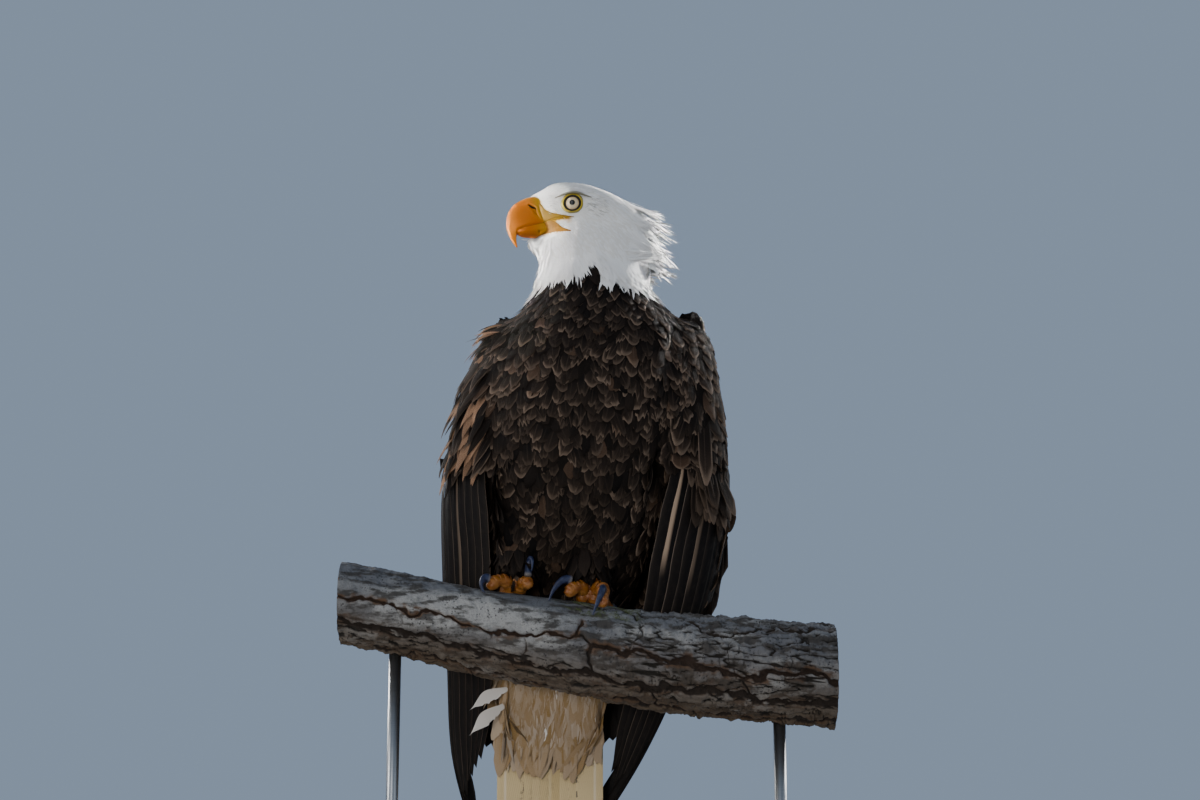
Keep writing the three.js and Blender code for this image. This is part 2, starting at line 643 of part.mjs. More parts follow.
const sheath = [
  { at: 306, y: 94, half: 30, front: 6, back: 5 },
  { at: 330, y: 90, half: 52, front: 13, back: 12 },
  { at: 370, y: 87, half: 60, front: 23, back: 15 },
  { at: 403.4, y: 88, half: 58, front: 27, back: 17 },
];
const sheathLoft = loft(
  Array.from({ length: 8 }, (_, i) => {
    const z = lerp(sheath[0].at, sheath[sheath.length - 1].at, i / 7);
    const [y, half, front, back] = ["y", "half", "front", "back"].map((name) => read(sheath, name, z));
    return Array.from({ length: 22 }, (_, k) => {
      const a = (k / 22) * 2 * Math.PI;
      const depth = Math.sin(a) < 0 ? front : back;
      return vec(TAIL_X + half * rounded(Math.cos(a), 2.2), y + depth * rounded(Math.sin(a), 2.2), z);
    });
  }),
);
place("tail", largest(tailSheet(0)), "white_feather");
const tailRoom = tailSheet(GAP);
place("tail_coverts", largest(withoutWings(sheathLoft.subtract(tailRoom), "tail")), "white_feather");

// ---- Legs: feathered thighs, bare shanks, toes and claws ---------------------------------------------------------

const TOE_SIDES = 6;
const THIGH_END = 470;

// The legs: the thigh's top, the middle of the foot, and each toe's and claw's line of x, y, z points.
const legs = [
  {
    name: "right",
    foot: -70,
    hip: vec(-62, -6, 566),
    toes: [
      {
        name: "front",
        line: [[-71, 3, 465], [-78, -6, 468], [-87, -13, 467], [-93, -16, 463]],
        claw: [[-94, -17, 468], [-99, -19, 468.5], [-102, -22, 463], [-100.5, -25, 456], [-98, -26, 453]],
      },
      {
        name: "inner",
        line: [[-67, 2, 465], [-61, -9, 466], [-57, -20, 463.5]],
        claw: [[-57, -18, 470], [-57, -17, 480], [-55, -20, 487.5], [-52.6, -25, 484], [-53, -28, 474]],
      },
      {
        name: "outer",
        line: [[-73, 6, 464], [-79, 18, 463], [-82, 28, 455]],
        claw: [[-83, 34, 459], [-84, 40, 456], [-84, 44, 449], [-83, 45, 441]],
      },
      {
        name: "hind",
        line: [[-69, 8, 464], [-67, 22, 462], [-65, 33, 451]],
        claw: [[-65, 36, 455], [-64, 44, 452], [-63, 49, 444], [-62, 51, 434], [-62, 50, 426]],
      },
    ],
  },
  {
    name: "left",
    foot: 2,
    hip: vec(34, -6, 566),
    toes: [
      {
        name: "front",
        line: [[4, 2, 456], [11, -8, 461], [15.5, -18, 458], [16, -26, 450], [15, -31, 443]],
        claw: [[16, -28, 457], [15, -34, 453], [12, -38, 445], [9, -39, 437], [6, -39.5, 429]],
      },
      {
        name: "inner",
        line: [[0, 1, 456], [-5, -10, 461], [-11, -18, 460], [-17, -22, 455]],
        claw: [[-14, -20, 465.5], [-20, -21.5, 467], [-26, -23, 463.5], [-31, -24, 457.5], [-34.5, -25, 450.5], [-36.5, -25, 445]],
      },
      {
        name: "outer",
        line: [[6, 6, 455], [15, 16, 452], [22, 26, 444]],
        claw: [[23, 28, 449], [28, 33, 446], [31, 38, 439], [32, 40, 430]],
      },
      {
        name: "hind",
        line: [[1, 8, 455], [-2, 22, 453], [-4, 33, 442]],
        claw: [[-4, 36, 446], [-5, 44, 443], [-6, 49, 435], [-6, 51, 425], [-6, 50, 417]],
      },
    ],
  },
];

const PAD = 8; // half the thickness of the foot's middle
const TOE = 7.8; // a toe's radius at its root

// A smooth line through a few points, read at evenly spaced steps.
const curve = (points) => new THREE.CatmullRomCurve3(points.map((p) => vec(...p)), false, "centripetal");

// A toe over the bark, with a swelling at each joint.
function toeLine(toe) {
  const steps = 4;
  const line = curve(toe.line);
  return Array.from({ length: steps + 1 }, (_, i) => {
    const t = i / steps;
    const end = t > 0.99 ? 0.72 : 1;
    return { at: line.getPointAt(t), wide: TOE * (1 - 0.12 * t) * end, tall: TOE * (1 - 0.1 * t) * end };
  });
}

// A claw: it tapers to a point.
function clawLine(toe) {
  const steps = 5;
  const line = curve(toe.claw);
  return Array.from({ length: steps + 1 }, (_, i) => {
    const t = i / steps;
    const r = lerp(4.9, 0.75, t ** 1.2);
    return { at: line.getPointAt(t), wide: r * 0.82, tall: r };
  });
}

// Lifts a line's points clear of the bark.
function clear(line) {
  return line.map((p) => {
    const a = Math.atan2(-p.at.y, p.at.z - perchLine(p.at.x));
    const need = perchRadius(p.at.x, a) + p.wide + 0.5;
    const have = Math.hypot(p.at.y, p.at.z - perchLine(p.at.x));
    if (have >= need) return p;
    return { ...p, at: vec(p.at.x, -need * Math.sin(a), perchLine(p.at.x) + need * Math.cos(a)) };
  });
}

// The widthwise direction of a line that mostly bends in one upright plane.
function sideways(points) {
  const [start, end] = [vec(...points[0]), vec(...points[points.length - 1])];
  return end.sub(start).setZ(0).normalize().cross(vec(0, 0, 1));
}
const trunkRoom = [];
for (const leg of legs) {
  const legRoom = [];
  const middle = onPerch(leg.foot, 0, PAD + 1.2);
  const pad = (grow) =>
    solid(new THREE.SphereGeometry(1, 12, 8).scale(15 + grow, 13 + grow, PAD + grow).translate(middle.x, middle.y, middle.z));
  const shank = (grow) =>
    tube(
      [
        { at: middle.clone().add(vec(0, 2, 0)), wide: 9.5, tall: 9 },
        { at: middle.clone().add(vec(0, 5, THIGH_END + 4 - middle.z)), wide: 8.6, tall: 8.6 },
      ],
      vec(1, 0, 0),
      12,
      grow,
    );
  const foot = (grow) =>
    leg.toes.reduce(
      (whole, toe) => whole.add(tube(clear(toeLine(toe)), sideways(toe.line), TOE_SIDES, grow)),
      pad(grow).add(shank(grow)),
    );
  const footRoom = foot(2.5 * GAP);
  place(`foot_${leg.name}`, largest(foot(0)), "foot_skin");
  for (const toe of leg.toes) {
    const claw = tube(clear(clawLine(toe)), sideways(toe.claw), 5).subtract(footRoom);
    place(`claw_${leg.name}_${toe.name}`, largest(claw), "claw");
    legRoom.push(tube(clear(clawLine(toe)), sideways(toe.claw), 5, 1.2));
  }
  legRoom.push(footRoom);
  trunkRoom.push(...legRoom);

  const ankle = middle.clone().add(vec(0, 4, THIGH_END - middle.z));
  const thigh = tube(
    [
      { at: ankle, wide: 19, tall: 17 },
      { at: ankle.clone().lerp(leg.hip, 0.25), wide: 27, tall: 26 },
      { at: ankle.clone().lerp(leg.hip, 0.6), wide: 36, tall: 38 },
      { at: leg.hip.clone().add(vec(0, 4, -4)), wide: 34, tall: 40 },
      { at: leg.hip.clone().add(vec(0, 12, 30)), wide: 20, tall: 26 },
    ],
    vec(1, 0, 0),
    16,
  );
  const bare = legRoom.reduce((rest, room) => rest.subtract(room), thigh).subtract(bodyLoft(2 * GAP));
  const clearThigh = withoutWings(bare, "body");
  place(`thigh_${leg.name}`, largest(clearThigh), "brown_feather");
}

// ---- Trunk, neck and head, cut apart and cleared of what lies on them -----------------------------------------------

let flesh = bodyLoft().add(headLoft);
for (const extra of [...brows, ...locks, forehead, chin]) flesh = flesh.add(extra);
for (const room of [upperRoom, lowerRoom, ...eyeCentres.map((centre) => ball(centre, EYE_RADIUS + 1.5 * GAP))])
  flesh = flesh.subtract(room);
const [upperPart, trunkWhole] = parted(flesh, vec(0, 0, NECK_CUT), vec(0, 0, 1));
const [head, neck] = parted(upperPart, vec(8, 0, 806), vec(0.1, 0, 1));
const trunk = trunkRoom.reduce((rest, room) => rest.subtract(room), withoutWings(trunkWhole, "body").subtract(tailRoom));
place("head", largest(head), "white_feather", eagle, 0.25);
place("neck", largest(neck), "white_feather");
place("trunk", largest(trunk), "brown_feather", eagle, SOFT_FINENESS);

export default model;
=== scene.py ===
"""A life-size bald eagle with its feathers, on a cut length of limb over a plain display base."""

import math
from itertools import product

import bmesh
import bpy
import numpy as np
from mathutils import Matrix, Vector
from mathutils.bvhtree import BVHTree


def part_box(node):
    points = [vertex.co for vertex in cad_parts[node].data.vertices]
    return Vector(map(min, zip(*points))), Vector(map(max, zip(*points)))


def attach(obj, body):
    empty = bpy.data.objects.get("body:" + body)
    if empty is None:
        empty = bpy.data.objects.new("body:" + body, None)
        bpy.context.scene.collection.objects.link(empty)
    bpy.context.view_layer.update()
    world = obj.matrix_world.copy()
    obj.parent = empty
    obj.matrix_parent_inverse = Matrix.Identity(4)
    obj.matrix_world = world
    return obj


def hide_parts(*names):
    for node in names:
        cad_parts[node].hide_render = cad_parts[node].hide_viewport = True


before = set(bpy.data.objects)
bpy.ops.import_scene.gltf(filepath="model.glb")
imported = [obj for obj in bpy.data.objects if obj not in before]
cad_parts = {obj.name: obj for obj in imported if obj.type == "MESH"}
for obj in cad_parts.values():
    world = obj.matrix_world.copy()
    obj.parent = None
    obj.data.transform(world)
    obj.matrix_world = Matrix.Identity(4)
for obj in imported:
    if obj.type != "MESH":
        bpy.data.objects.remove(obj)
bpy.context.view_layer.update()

# ---- Camera, floor and light -----------------------------------------------------------------------------------
# The camera stands low in front of the bird and looks up at it. The floor is a plain pale sheet, the world is plain,
# and the lamps are soft boxes, three of them narrowed onto the head, the nape and the lower body.

PERCH_Y = -15.0  # lengths are millimetres in the limb's own frame, whose y = 0 lies here in the model's
LOOK_UP = math.radians(15)
DISTANCE = 2350.0
AIM = np.array([13.0, 0.0, 653.0])
SENSOR_MM, FRAME_PX = 36, 1200


def scaled(points):
    """The model's metres for places in millimetres."""
    return (np.asarray(points, float) + (0, PERCH_Y, 0)) / 1000


def add_object(name, mesh, body="root"):
    made = bpy.data.objects.new(name, mesh)
    bpy.context.collection.objects.link(made)
    if body:
        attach(made, body)
    return made


def smooth_piece(bm, name, body="root"):
    """A smoothly shaded object from a bmesh, which is used up."""
    mesh = bpy.data.meshes.new(name)
    bm.to_mesh(mesh)
    bm.free()
    mesh.polygons.foreach_set("use_smooth", np.ones(len(mesh.polygons), bool))
    return add_object(name, mesh, body)


def wire(tree, kind, inputs=(), output=0, **settings):
    """Adds a node, sets or links its inputs in order or by name, and returns one of its outputs."""
    made = tree.nodes.new(kind)
    for key, value in settings.items():
        setattr(made, key, value)
    for key, value in inputs.items() if isinstance(inputs, dict) else enumerate(inputs):
        if isinstance(value, bpy.types.NodeSocket):
            tree.links.new(value, made.inputs[key])
        else:
            made.inputs[key].default_value = value
    return made.outputs[output]


def mix(tree, share, a, b):
    a, b = (c if isinstance(c, bpy.types.NodeSocket) else (*c, 1.0) for c in (a, b))
    return wire(tree, "ShaderNodeMix", {0: share, 6: a, 7: b}, output=2, data_type="RGBA", clamp_factor=True)


def place_of(tree):
    return wire(tree, "ShaderNodeTexCoord", output=3)


def noise_of(tree, scale, detail=3.0, vector=None):
    vector = vector or place_of(tree)
    inputs = {"Vector": vector, "Scale": scale, "Detail": detail, "Roughness": 0.55}
    return wire(tree, "ShaderNodeTexNoise", inputs)


def surface(colour, roughness, normal=None, gloss=0.5):
    """The Principled inputs that most finishes set."""
    inputs = {"Base Color": colour, "Roughness": roughness, "Specular IOR Level": gloss}
    return inputs | ({"Normal": normal} if normal else {})


def material(name, build):
    """A material whose Principled inputs come from build(tree), a dict by socket name."""
    made = bpy.data.materials.new(name)
    made.use_nodes = True
    tree = made.node_tree
    shader = tree.nodes["Principled BSDF"]
    for key, value in build(tree).items():
        if isinstance(value, bpy.types.NodeSocket):
            tree.links.new(value, shader.inputs[key])
        else:
            shader.inputs[key].default_value = value
    return made


def soft_light(name, place, power, size, colour, target=(0, 0, 0.62), spread=180):
    lamp = bpy.data.lights.new(name, "AREA")
    lamp.energy, lamp.size, lamp.color, lamp.spread = power, size, colour, math.radians(spread)
    made = add_object(name, lamp, body=None)
    made.location = place
    made.rotation_euler = (Vector(target) - Vector(place)).to_track_quat("-Z", "Y").to_euler()


camera = add_object("camera", bpy.data.cameras.new("camera"), body=None)
camera.location = scaled(AIM - DISTANCE * np.array([0, math.cos(LOOK_UP), math.sin(LOOK_UP)]))
camera.rotation_euler = (math.pi / 2 + LOOK_UP, 0, 0)
camera.data.sensor_width, camera.data.lens = SENSOR_MM, SENSOR_MM * DISTANCE / FRAME_PX
bpy.context.scene.camera = camera

soft_light("key", (-2.3, -0.5, 1.45), 24, 0.7, (1.0, 0.97, 0.92))
soft_light("head", (-1.7, 0.30, 1.05), 0.85, 0.2, (1.0, 0.98, 0.95), (-0.05, -0.02, 0.83), 12)
soft_light("nape", (1.3, 0.7, 1.3), 0.62, 0.1, (1.0, 0.99, 0.97), (0.08, 0.0, 0.82), 12)
soft_light("front", (-0.6, -2.4, 1.7), 9.5, 0.8, (0.96, 0.98, 1.0))
soft_light("low", (-0.5, -1.8, 0.25), 1.0, 0.4, (1.0, 0.95, 0.88), (0, 0, 0.42), 44)
soft_light("fill", (2.1, -1.5, 1.3), 7, 1.6, (0.90, 0.95, 1.0))
soft_light("rim_left", (-1.3, 1.3, 1.5), 26, 0.6, (1.0, 0.96, 0.90))
soft_light("rim_right", (1.5, 1.0, 1.5), 30, 0.8, (1.0, 0.98, 0.95))

world = bpy.data.worlds.new("world")
bpy.context.scene.world = world
world.use_nodes = True
sky = world.node_tree.nodes["Background"]
sky.inputs["Color"].default_value, sky.inputs["Strength"].default_value = (0.45, 0.58, 0.78, 1), 0.50

bm = bmesh.new()
bmesh.ops.create_grid(bm, x_segments=8, y_segments=8, size=6)
floor = smooth_piece(bm, "floor", body=None)
floor.data.materials.append(
    material("floor_plain", lambda t: surface(mix(t, noise_of(t, 3.0), (0.52, 0.53, 0.54), (0.58, 0.59, 0.60)), 0.85))
)

# ---- Skin ------------------------------------------------------------------------------------------------------
# One skin runs over the head, neck, trunk, thighs, wing fronts and the root of the tail, a coat's depth under
# the feather tips. Each eyeball bulges through it, and the bill's root sinks into it.

WELD = 2.4  # the neighbouring solids are swollen by this much so that they fuse, and shrunk back afterwards
VOXEL_M = 0.0030
BILL_ROOT = np.array([-50.0, -8.0, 850.0])
HEAD_Y = -8.0
EYES = [np.array([-13.9, HEAD_Y + side * 24.6, 847.4]) for side in (-1, 1)]
SOCKET_RADIUS, SOCKET_DEPTH = 14, 5.2
FLESH = [
    "head", "neck", "trunk", "thigh_left", "thigh_right", "wing_left_coverts", "wing_right_coverts", "tail_coverts",
]


def unscaled(points):
    return np.asarray(points, float) * 1000 - (0, PERCH_Y, 0)


def smooth(x, low, high):
    t = np.clip((np.asarray(x, float) - low) / (high - low), 0, 1)
    return t * t * (3 - 2 * t)


def unit(v):
    return v / np.maximum(np.linalg.norm(v, axis=-1, keepdims=True), 1e-9)


def numbers(items, name, width, kind=np.float32):
    """One property of all of a mesh's vertices, triangles or corners."""
    out = np.empty(len(items) * width, kind)
    items.foreach_get(name, out)
    return out.reshape(-1, width)


def points_of(mesh):
    return unscaled(numbers(mesh.vertices, "co", 3))


def normals_of(mesh):
    return numbers(mesh.vertex_normals, "vector", 3).astype(float)


def attribute(mesh, name, values):
    mesh.attributes.new(name, "FLOAT", "POINT").data.foreach_set("value", np.asarray(values, np.float32).ravel())


def from_bill(p):
    return np.linalg.norm(p - BILL_ROOT, axis=1)


def midline(z):
    return np.interp(z, [404, 455, 540, 600, 660, 710, 742, 790], [-36, -34, -24, -12, 0, 7, 10, 8])


def coat_depth(p):
    """How far the skin lies under the feather tips."""
    head = 0.9 + 3.6 * smooth(from_bill(p), 28, 110)
    body = 4.6 + 1.2 * smooth(p[:, 2], 600, 480)
    return head + (body - head) * smooth(p[:, 2], 775, 735)


def whiteness(p, shift=0.0):
    """1 where the coat is white: the head, the neck down to a ragged line, and the tail's root."""
    x, y, z = p.T
    places = [-84, -75, -60, -44, -20, -7, 2, 9, 16, 30, 50, 65, 90]
    heights = [800, 750, 757, 774, 779, 783, 793, 785, 775, 771, 765, 770, 768]
    line = 770 + smooth(y, 30, 5) * (np.interp(x, places, heights) - 770) - shift
    line = line + 2.0 * np.sin(x / 4.1) + 1.6 * np.sin(x / 2.3 + y / 5)
    head = smooth(z, line - 1.5, line + 1.5)
    vent = smooth(z, 442, 426) * smooth(np.abs(x - midline(z)), 90, 70)
    return np.maximum(head, vent)


def bareness(p):
    """1 on the bare yellow skin: a wedge above the mouth's line from the cere back, and the jaw's edge below."""
    x, z, out = p[:, 0], p[:, 2], np.abs(p[:, 1] - HEAD_Y)
    line = np.interp(x, [-62, -50, -37, -24, -7], [829, 831.2, 833.6, 832.8, 830.7])
    above = np.interp(
        x, [-56, -48, -46, -43, -36.6, -30, -23.5, -9, -5], [870, 858.4, 852.2, 845.8, 840.9, 838.2, 836.1, 832.4, 831]
    )
    low = np.interp(x, [-60, -46, -38, -24, -18], [819, 821, 820.5, 818, 817.2])
    low_top = np.interp(x, [-42, -38, -34, -30, -26, -21, -17], [832, 832.4, 831.6, 829, 824.6, 820.8, 818.6])
    wedge = smooth(above - z, -1.0, 0.6) * smooth(z - line, -3.2, -2.2) * smooth(x, -14, -19)
    jaw = smooth(low_top - z, -0.8, 0.6) * smooth(z - low, -0.8, 0.6) * smooth(x, -17, -20)
    return np.maximum(wedge, jaw) * smooth(out, 4, 8)


bm = bmesh.new()
for name in FLESH + ["eye_left", "eye_right", "cere", "bill_lower"]:
    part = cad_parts[name].data
    p = points_of(part)
    if name in FLESH:
        p = p + normals_of(part) * WELD
    if name in ("head", "neck"):
        nape = np.interp(p[:, 2], [760, 790, 806, 822, 838, 850, 862, 882], [86, 67, 67, 69, 66, 61, 50, 30])
        p[:, 0] = np.minimum(p[:, 0], nape)
    if name == "bill_lower":
        p[:, 0] = np.maximum(p[:, 0], -49)
    verts = [bm.verts.new(q) for q in scaled(p)]
    for polygon in part.polygons:
        corners = [verts[i] for i in polygon.vertices]
        if len(set(corners)) > 2:
            bm.faces.new(corners)
raw = bpy.data.meshes.new("skin_raw")
bm.to_mesh(raw)
bm.free()
skin = add_object("skin", raw)
remesh = skin.modifiers.new("fuse", "REMESH")
remesh.mode, remesh.voxel_size = "VOXEL", VOXEL_M
even = skin.modifiers.new("even", "SMOOTH")
even.factor, even.iterations = 0.6, 6
fused = bpy.data.meshes.new_from_object(skin.evaluated_get(bpy.context.evaluated_depsgraph_get()))
skin.modifiers.clear()
skin.data = fused
fused.name = "skin"
fused.polygons.foreach_set("use_smooth", np.ones(len(fused.polygons), bool))
p = points_of(fused)
p = p - normals_of(fused) * (WELD + coat_depth(p))[:, None]
GAZES = [unit(np.array([-0.10, side * 0.985, -0.06])) for side in (-1, 1)]
for eye, gaze in zip(EYES, GAZES):
    height = (p - eye) @ gaze
    ring = np.linalg.norm(p - eye - height[:, None] * gaze, axis=1)
    proud = np.maximum(height - (SOCKET_DEPTH + 9 * smooth(ring, 9.6, 13)), 0)
    p = p - np.where((height > 0) & (ring < SOCKET_RADIUS), proud, 0)[:, None] * gaze
fused.vertices.foreach_set("co", scaled(p).astype(np.float32).ravel())
fused.update()
attribute(fused, "white", whiteness(p, 14))
attribute(fused, "bare", bareness(p))

bpy.context.view_layer.objects.active = skin
skin.select_set(True)
bpy.ops.object.mode_set(mode="EDIT")
bpy.ops.mesh.select_all(action="SELECT")
bpy.ops.uv.smart_project(angle_limit=1.15, island_margin=0.002)
bpy.ops.object.mode_set(mode="OBJECT")
skin.select_set(False)
fused.uv_layers[0].name = "OFBake"
for name in FLESH:
    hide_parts(name)


def calc(tree, operation, *values):
    return wire(tree, "ShaderNodeMath", values, operation=operation)


def times(tree, first, *others):
    for factor in others:
        first = calc(tree, "MULTIPLY", first, factor)
    return first


def ramp(tree, value, low, high):
    return wire(tree, "ShaderNodeMapRange", (value, low, high, 0.0, 1.0), interpolation_type="SMOOTHSTEP")


def fall(tree, value, low, high):
    return calc(tree, "SUBTRACT", 1.0, ramp(tree, value, low, high))


def coated(tree, colour, *coats):
    """A colour with others laid over it in turn. Each coat is its share, as one or more factors, and its colour."""
    for *factors, over in coats:
        colour = mix(tree, times(tree, *factors), colour, over)
    return colour


def values_of(tree, *names):
    """The mesh's own values, as sockets."""
    return [wire(tree, "ShaderNodeAttribute", output=2, attribute_name=name) for name in names]


def cells_of(tree, scale):
    return wire(tree, "ShaderNodeTexVoronoi", {"Vector": place_of(tree), "Scale": scale})


def bumped(tree, height, strength, distance):
    return wire(tree, "ShaderNodeBump", {"Height": height, "Strength": strength, "Distance": distance})


def down_look(t):
    white, bare = values_of(t, "white", "bare")
    speck, cells = noise_of(t, 260.0), cells_of(t, 620.0)
    dark = mix(t, speck, (0.0035, 0.0028, 0.0025), (0.010, 0.0075, 0.006))
    pale = mix(t, speck, (0.62, 0.60, 0.56), (0.74, 0.72, 0.68))
    yellow = mix(t, ramp(t, cells, 0.1, 0.6), (0.52, 0.30, 0.010), (0.50, 0.25, 0.012))
    grit = calc(t, "ADD", noise_of(t, 700.0), cells)
    return surface(coated(t, dark, (white, pale), (bare, yellow)), 0.9, bumped(t, grit, 0.3, 0.0008), 0.06)


fused.materials.append(material("skin_down", down_look))

# Triangles of the skin, for placing feathers, and a closest-point tree over all that feathers lie on.
fused.calc_loop_triangles()
skin_tris = numbers(fused.loop_triangles, "vertices", 3, np.int32)
skin_loops = numbers(fused.loop_triangles, "loops", 3, np.int32)
skin_uv = numbers(fused.uv_layers[0].data, "uv", 2)
skin_points = points_of(fused)
skin_tree = BVHTree.FromPolygons(skin_points.tolist(), skin_tris.tolist())

hug_points, hug_faces = [skin_points], [skin_tris]
for name in (*(f"wing_{side}_{row}" for side in ("left", "right") for row in ("secondaries", "primaries")), "tail"):
    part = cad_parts[name].data
    part.calc_loop_triangles()
    hug_faces.append(numbers(part.loop_triangles, "vertices", 3, np.int32) + sum(len(q) for q in hug_points))
    hug_points.append(points_of(part))
hug = BVHTree.FromPolygons(np.vstack(hug_points).tolist(), np.vstack(hug_faces).tolist())

# ---- Feathers --------------------------------------------------------------------------------------------------
# Every feather is a thin closed vane: a front and a back sheet that meet along its outline, with a ridge for
# the shaft. Its corners carry how far along and across they are, and the feather's own chance and markings.

HALF_THICK = 0.12  # half a body feather's thickness
BAKE_PATCH = 0.003  # each feather's patch on the unwrap
EYE_CLEAR = 10.2  # no feather comes nearer to an eye's middle than this
CHEEK_END = 66  # from the bill's root to where the face's short feathers turn into the neck's
HEAD_FOOT, VENT_TOP = 700, 500  # white feathers above the one are the head's, and below the other the vent's
HACKLE_FOOT, WAIST, BELLY_FOOT = 738, 640, 380
NEIGHBOURS = list(product((-1, 0, 1), repeat=3))


def vane_pattern(rows, cols):
    """The corner numbers of a vane's faces (the front grid first, then the back's inner corners), and the
    places in the grid that those corners have."""
    front = np.arange((rows + 1) * (cols + 1)).reshape(rows + 1, cols + 1)
    back = front.copy()
    back[1:-1, 1:-1] = front.size + np.arange((rows - 1) * (cols - 1)).reshape(rows - 1, cols - 1)
    faces, places = [], []
    for j, c in product(range(rows), range(cols)):
        for sheet, kept, way in ((front, faces, 1), (front, places, 1), (back, faces, -1), (front, places, -1)):
            corners = [sheet[j, c], sheet[j + 1, c], sheet[j + 1, c + 1], sheet[j, c + 1]]
            kept.append([corners[k * way] for k in range(4)])
    return np.array(faces), np.array(places), front.size + (rows - 1) * (cols - 1)


def shares(rows, cols):
    """How far along (0 to 1) and across (-1 to 1) a vane each row and column lies."""
    return np.linspace(0, 1, rows + 1)[:, None], np.linspace(-1, 1, cols + 1)[None, :]


def feathers(name, grid, normals, root_uv, marks, plumage, thick=HALF_THICK, soft=0.6):
    """A piece of joined vanes. grid and normals: (vane, row, column, 3). marks: per-vane numbers by name.
    root_uv: each root's place on the skin's unwrap. plumage: its material.
    soft: how far the shading follows the surface below instead of each vane."""
    count, rows, cols = grid.shape[0], grid.shape[1] - 1, grid.shape[2] - 1
    faces, places, per = vane_pattern(rows, cols)
    puff = normals[:, 1:-1, 1:-1] * thick
    raised = grid.copy()
    raised[:, 1:-1, 1:-1] += puff
    inner = grid[:, 1:-1, 1:-1] - puff
    points = np.concatenate([raised.reshape(count, -1, 3), inner.reshape(count, -1, 3)], 1)
    r, c = rows // 2, cols // 2
    facing = np.cross(grid[:, -1, c] - grid[:, 0, c], grid[:, r, -1] - grid[:, r, 0])
    turned = ((facing * normals[:, r, c]).sum(1) < 0)[:, None, None]
    faces, places = (np.where(turned, a[None, :, ::-1], a[None]) for a in (faces, places))
    corners = (faces + (np.arange(count) * per)[:, None, None]).ravel()
    mesh = bpy.data.meshes.new(name)
    mesh.vertices.add(count * per)
    mesh.vertices.foreach_set("co", scaled(points.reshape(-1, 3)).astype(np.float32).ravel())
    mesh.loops.add(corners.size)
    mesh.loops.foreach_set("vertex_index", corners.astype(np.int32))
    mesh.polygons.add(corners.size // 4)
    mesh.polygons.foreach_set("loop_start", np.arange(0, corners.size, 4, dtype=np.int32))
    mesh.update(calc_edges=True)
    mesh.polygons.foreach_set("use_smooth", np.ones(len(mesh.polygons), bool))
    shade = unit(normals.reshape(count, -1, 3))[np.arange(count)[:, None, None], places]
    shade[:, 1::2] *= -1
    own = normals_of(mesh)[corners]
    mesh.normals_split_custom_set(unit(soft * shade.reshape(-1, 3) + (1 - soft) * own))
    u, v = (a + np.zeros((rows + 1, cols + 1)) for a in shares(rows, cols))
    along, across = (np.tile(np.concatenate([a.ravel(), a[1:-1, 1:-1].ravel()]), count) for a in (u, v))
    attribute(mesh, "along", along)
    attribute(mesh, "across", across)
    for key, value in marks.items():
        attribute(mesh, key, np.repeat(value, per))
    patch = np.stack([across / 2, along - 0.5], 1) * BAKE_PATCH
    bake = np.repeat(root_uv, per, axis=0) + patch
    mesh.uv_layers.new(name="OFBake").data.foreach_set("uv", bake[corners].astype(np.float32).ravel())
    made = add_object(name, mesh)
    mesh.materials.append(plumage[0])
    return made


def at(value, points):
    """A number, or a function of place, as one number for each point."""
    return value(points) if callable(value) else np.full(len(points), float(value))


def scatter(inside, spacing, seed):
    """Roots spread evenly over the skin where inside(points, normals) holds, `spacing` apart.
    Returns points, normals and places on the unwrap."""
    rng = np.random.default_rng(seed)
    a, b, c = (skin_points[skin_tris[:, k]] for k in range(3))
    middle = (a + b + c) / 3
    facing = np.cross(b - a, c - a)
    area = np.linalg.norm(facing, axis=1) / 2
    facing = unit(facing)
    keep = np.flatnonzero(inside(middle, facing) & (area > 1e-6))
    weight = area[keep] / at(spacing, middle[keep]) ** 2
    picks = rng.choice(keep, int(weight.sum() * 5.5), p=weight / weight.sum())
    r1, r2 = rng.random(len(picks)), rng.random(len(picks))
    flip = r1 + r2 > 1
    r1[flip], r2[flip] = 1 - r1[flip], 1 - r2[flip]
    share = np.stack([1 - r1 - r2, r1, r2], 1)[..., None]
    points = (np.stack([a[picks], b[picks], c[picks]], 1) * share).sum(1)
    uv = (skin_uv[skin_loops[picks]] * share).sum(1)
    gap = at(spacing, points)
    keys = np.floor(points / gap.max()).astype(int)
    cells, chosen = {}, []

    def crowded(spot, key, gap_2):
        for dx, dy, dz in NEIGHBOURS:
            for other in cells.get((key[0] + dx, key[1] + dy, key[2] + dz), ()):
                x, y, z = spot[0] - other[0], spot[1] - other[1], spot[2] - other[2]
                if x * x + y * y + z * z < gap_2:
                    return True
        return False

    for i, (spot, key, own) in enumerate(zip(points.tolist(), map(tuple, keys.tolist()), gap.tolist())):
        if not crowded(spot, key, own * own):
            cells.setdefault(key, []).append(spot)
            chosen.append(i)
    return points[chosen], facing[picks][chosen], uv[chosen]


def lie(p, n):
    """The way that feathers lie: back from the bill over the head, then down the neck, body and wings."""
    radial = unit(p - BILL_ROOT)
    head = smooth(p[:, 2], 762, 800)[:, None]
    side = smooth(np.abs(p[:, 0] - midline(p[:, 2])), 78, 104)[:, None] * smooth(p[:, 2], 770, 720)[:, None]
    down = np.tile([-0.10, 0.0, -1.0], (len(p), 1)) + side * np.array([0.0, 0.36, 0.0])
    flow = head * (radial + (0, 0, -0.42)) + (1 - head) * down
    return unit(flow - (flow * n).sum(1, keepdims=True) * n)


